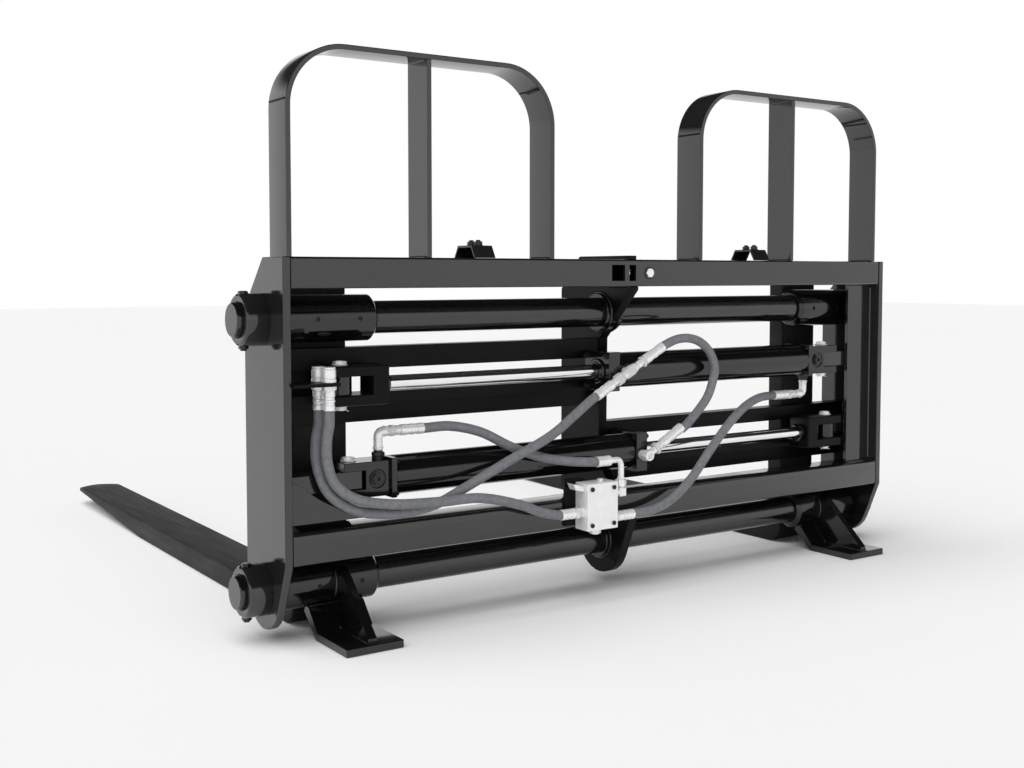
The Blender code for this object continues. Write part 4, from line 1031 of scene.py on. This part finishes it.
HOSES = {
    "hose_supply_valve": [
        (-0.948, 0.005, 0.5757), (-0.948, 0.005, 0.545), (-0.954, 0.007, 0.504), (-0.953, 0.005, 0.444),
        (-0.934, 0.000, 0.394), (-0.888, -0.012, 0.358), (-0.797, -0.022, 0.337), (-0.659, -0.032, 0.33),
        (-0.542, -0.036, 0.328), (-0.421, -0.04, 0.298), (-0.35, -0.041, 0.27), (-0.286, -0.04, 0.2555),
        (-0.275, -0.04, 0.2555)],
    "hose_supply_tee": [
        (-0.959, 0.0405, 0.5757), (-0.959, 0.0405, 0.545), (-0.967, 0.0395, 0.504), (-0.967, 0.037, 0.444),
        (-0.944, 0.024, 0.374), (-0.885, 0.004, 0.328), (-0.772, -0.004, 0.309), (-0.659, 0.000, 0.317),
        (-0.57, -0.001, 0.351), (-0.439, -0.01, 0.411), (-0.295, -0.008, 0.47), (-0.21, -0.002, 0.52),
        (-0.1504, 0.005, 0.5554), (-0.135, 0.005, 0.5637)],
    "hose_lower_base": [
        (-0.65, 0.08, 0.505), (-0.634, 0.08, 0.505), (-0.569, 0.072, 0.506), (-0.488, 0.05, 0.487),
        (-0.405, 0.03, 0.444), (-0.321, 0.012, 0.411), (-0.235, -0.014, 0.394), (-0.165, -0.038, 0.39),
        (-0.15, -0.04, 0.39)],
    "hose_upper_base": [
        (-0.05, PORT_Y, 0.232), (-0.034, PORT_Y, 0.232), (0.03, -0.044, 0.236), (0.095, -0.045, 0.255),
        (0.179, -0.04, 0.307), (0.267, -0.03, 0.387), (0.366, -0.012, 0.462), (0.448, 0.008, 0.503),
        (0.54, 0.042, 0.52), (0.638, 0.08, 0.519), (0.655, 0.08, 0.519)],
    "hose_rod_ends": [
        (0.1, 0.005, 0.6906), (0.1162, 0.005, 0.6993), (0.165, 0.004, 0.716), (0.215, 0.003, 0.717),
        (0.258, 0.001, 0.702), (0.292, -0.001, 0.67), (0.308, -0.003, 0.626), (0.3, -0.002, 0.5837),
        (0.282, 0.000, 0.5412), (0.2427, 0.002, 0.4979), (0.1977, 0.002, 0.4601), (0.183, 0.002, 0.4518)],
}


def hoses():
    """Each hose's cover along its route, running a little way into the ferrule at each end."""
    for name, route in HOSES.items():
        path = smooth_route(route, 0.006)
        cover = tube(name + "_cover", path, HOSE_RADIUS, "frame", RUBBER, 32)
        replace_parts(cover, name)
        line = path + (0, REAR, 0)
        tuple(line[0])


plain_frame_parts()
for end_side in (LEFT, RIGHT):
    guard_hoop(end_side)
    saddle_clip(end_side)
centre_bosses()
tube_bolt()
frame_welds()
shafts_and_collars()
for fork_side in (LEFT, RIGHT):
    fork(fork_side)
    fork_lug(fork_side)
    stand_foot(fork_side)
    for shaft_row, shaft_z in SHAFT_HEIGHTS.items():
        sleeve(fork_side, shaft_row, shaft_z)
for cylinder_row in CYLINDERS:
    cylinder(cylinder_row)
clevis_pins()
flow_divider()
fittings()
for coupler_number in COUPLERS:
    coupler(coupler_number)
hoses()


# ---------------- studio
def studio():
    """A white floor, a world that is white round the horizon and dark above, and a broad overhead light."""
    floor_mesh = bpy.data.meshes.new("studio_floor")
    floor_mesh.from_pydata([(-30, -30, 0), (30, -30, 0), (30, 30, 0), (-30, 30, 0)], [], [(0, 1, 2, 3)])
    floor_mesh.materials.append(floor_finish())
    floor = bpy.data.objects.new("studio_floor", floor_mesh)
    SCENE.collection.objects.link(floor)
    floor.location.z = -0.0005
    world = bpy.data.worlds.new("studio_world")
    world.use_nodes = True
    nodes, links = world.node_tree.nodes, world.node_tree.links
    direction = nodes.new("ShaderNodeTexCoord")
    split = nodes.new("ShaderNodeSeparateXYZ")
    band = nodes.new("ShaderNodeValToRGB")
    for element, place, grey in zip(band.color_ramp.elements, (0.3, 0.42), (1.0, 0.02)):
        element.position = place
        element.color = (grey, grey, grey, 1.0)
    links.new(direction.outputs["Generated"], split.inputs["Vector"])
    links.new(split.outputs["Z"], band.inputs["Fac"])
    links.new(band.outputs["Color"], nodes["Background"].inputs["Color"])
    SCENE.world = world
    sun = bpy.data.lights.new("overhead_light", "SUN")
    sun.energy = 2.95
    sun.angle = math.radians(75)
    overhead = bpy.data.objects.new("overhead_light", sun)
    SCENE.collection.objects.link(overhead)
    overhead.rotation_euler = (math.radians(8), math.radians(-24), 0)
    overhead.visible_glossy = False
    SCENE.view_settings.view_transform = "Standard"


def camera():
    """The view from behind and to the left, a little below the top tube's middle."""
    lens = bpy.data.cameras.new("camera")
    lens.lens = 42.88
    lens.sensor_width = 36.0
    lens.shift_y = -0.0413
    eye = bpy.data.objects.new("camera", lens)
    SCENE.collection.objects.link(eye)
    eye.location = (-2.2228, -2.6689 + REAR, 0.9047)
    eye.rotation_euler = (math.radians(90 - 3.157), 0, math.radians(-34.05))
    SCENE.camera = eye


studio()
camera()
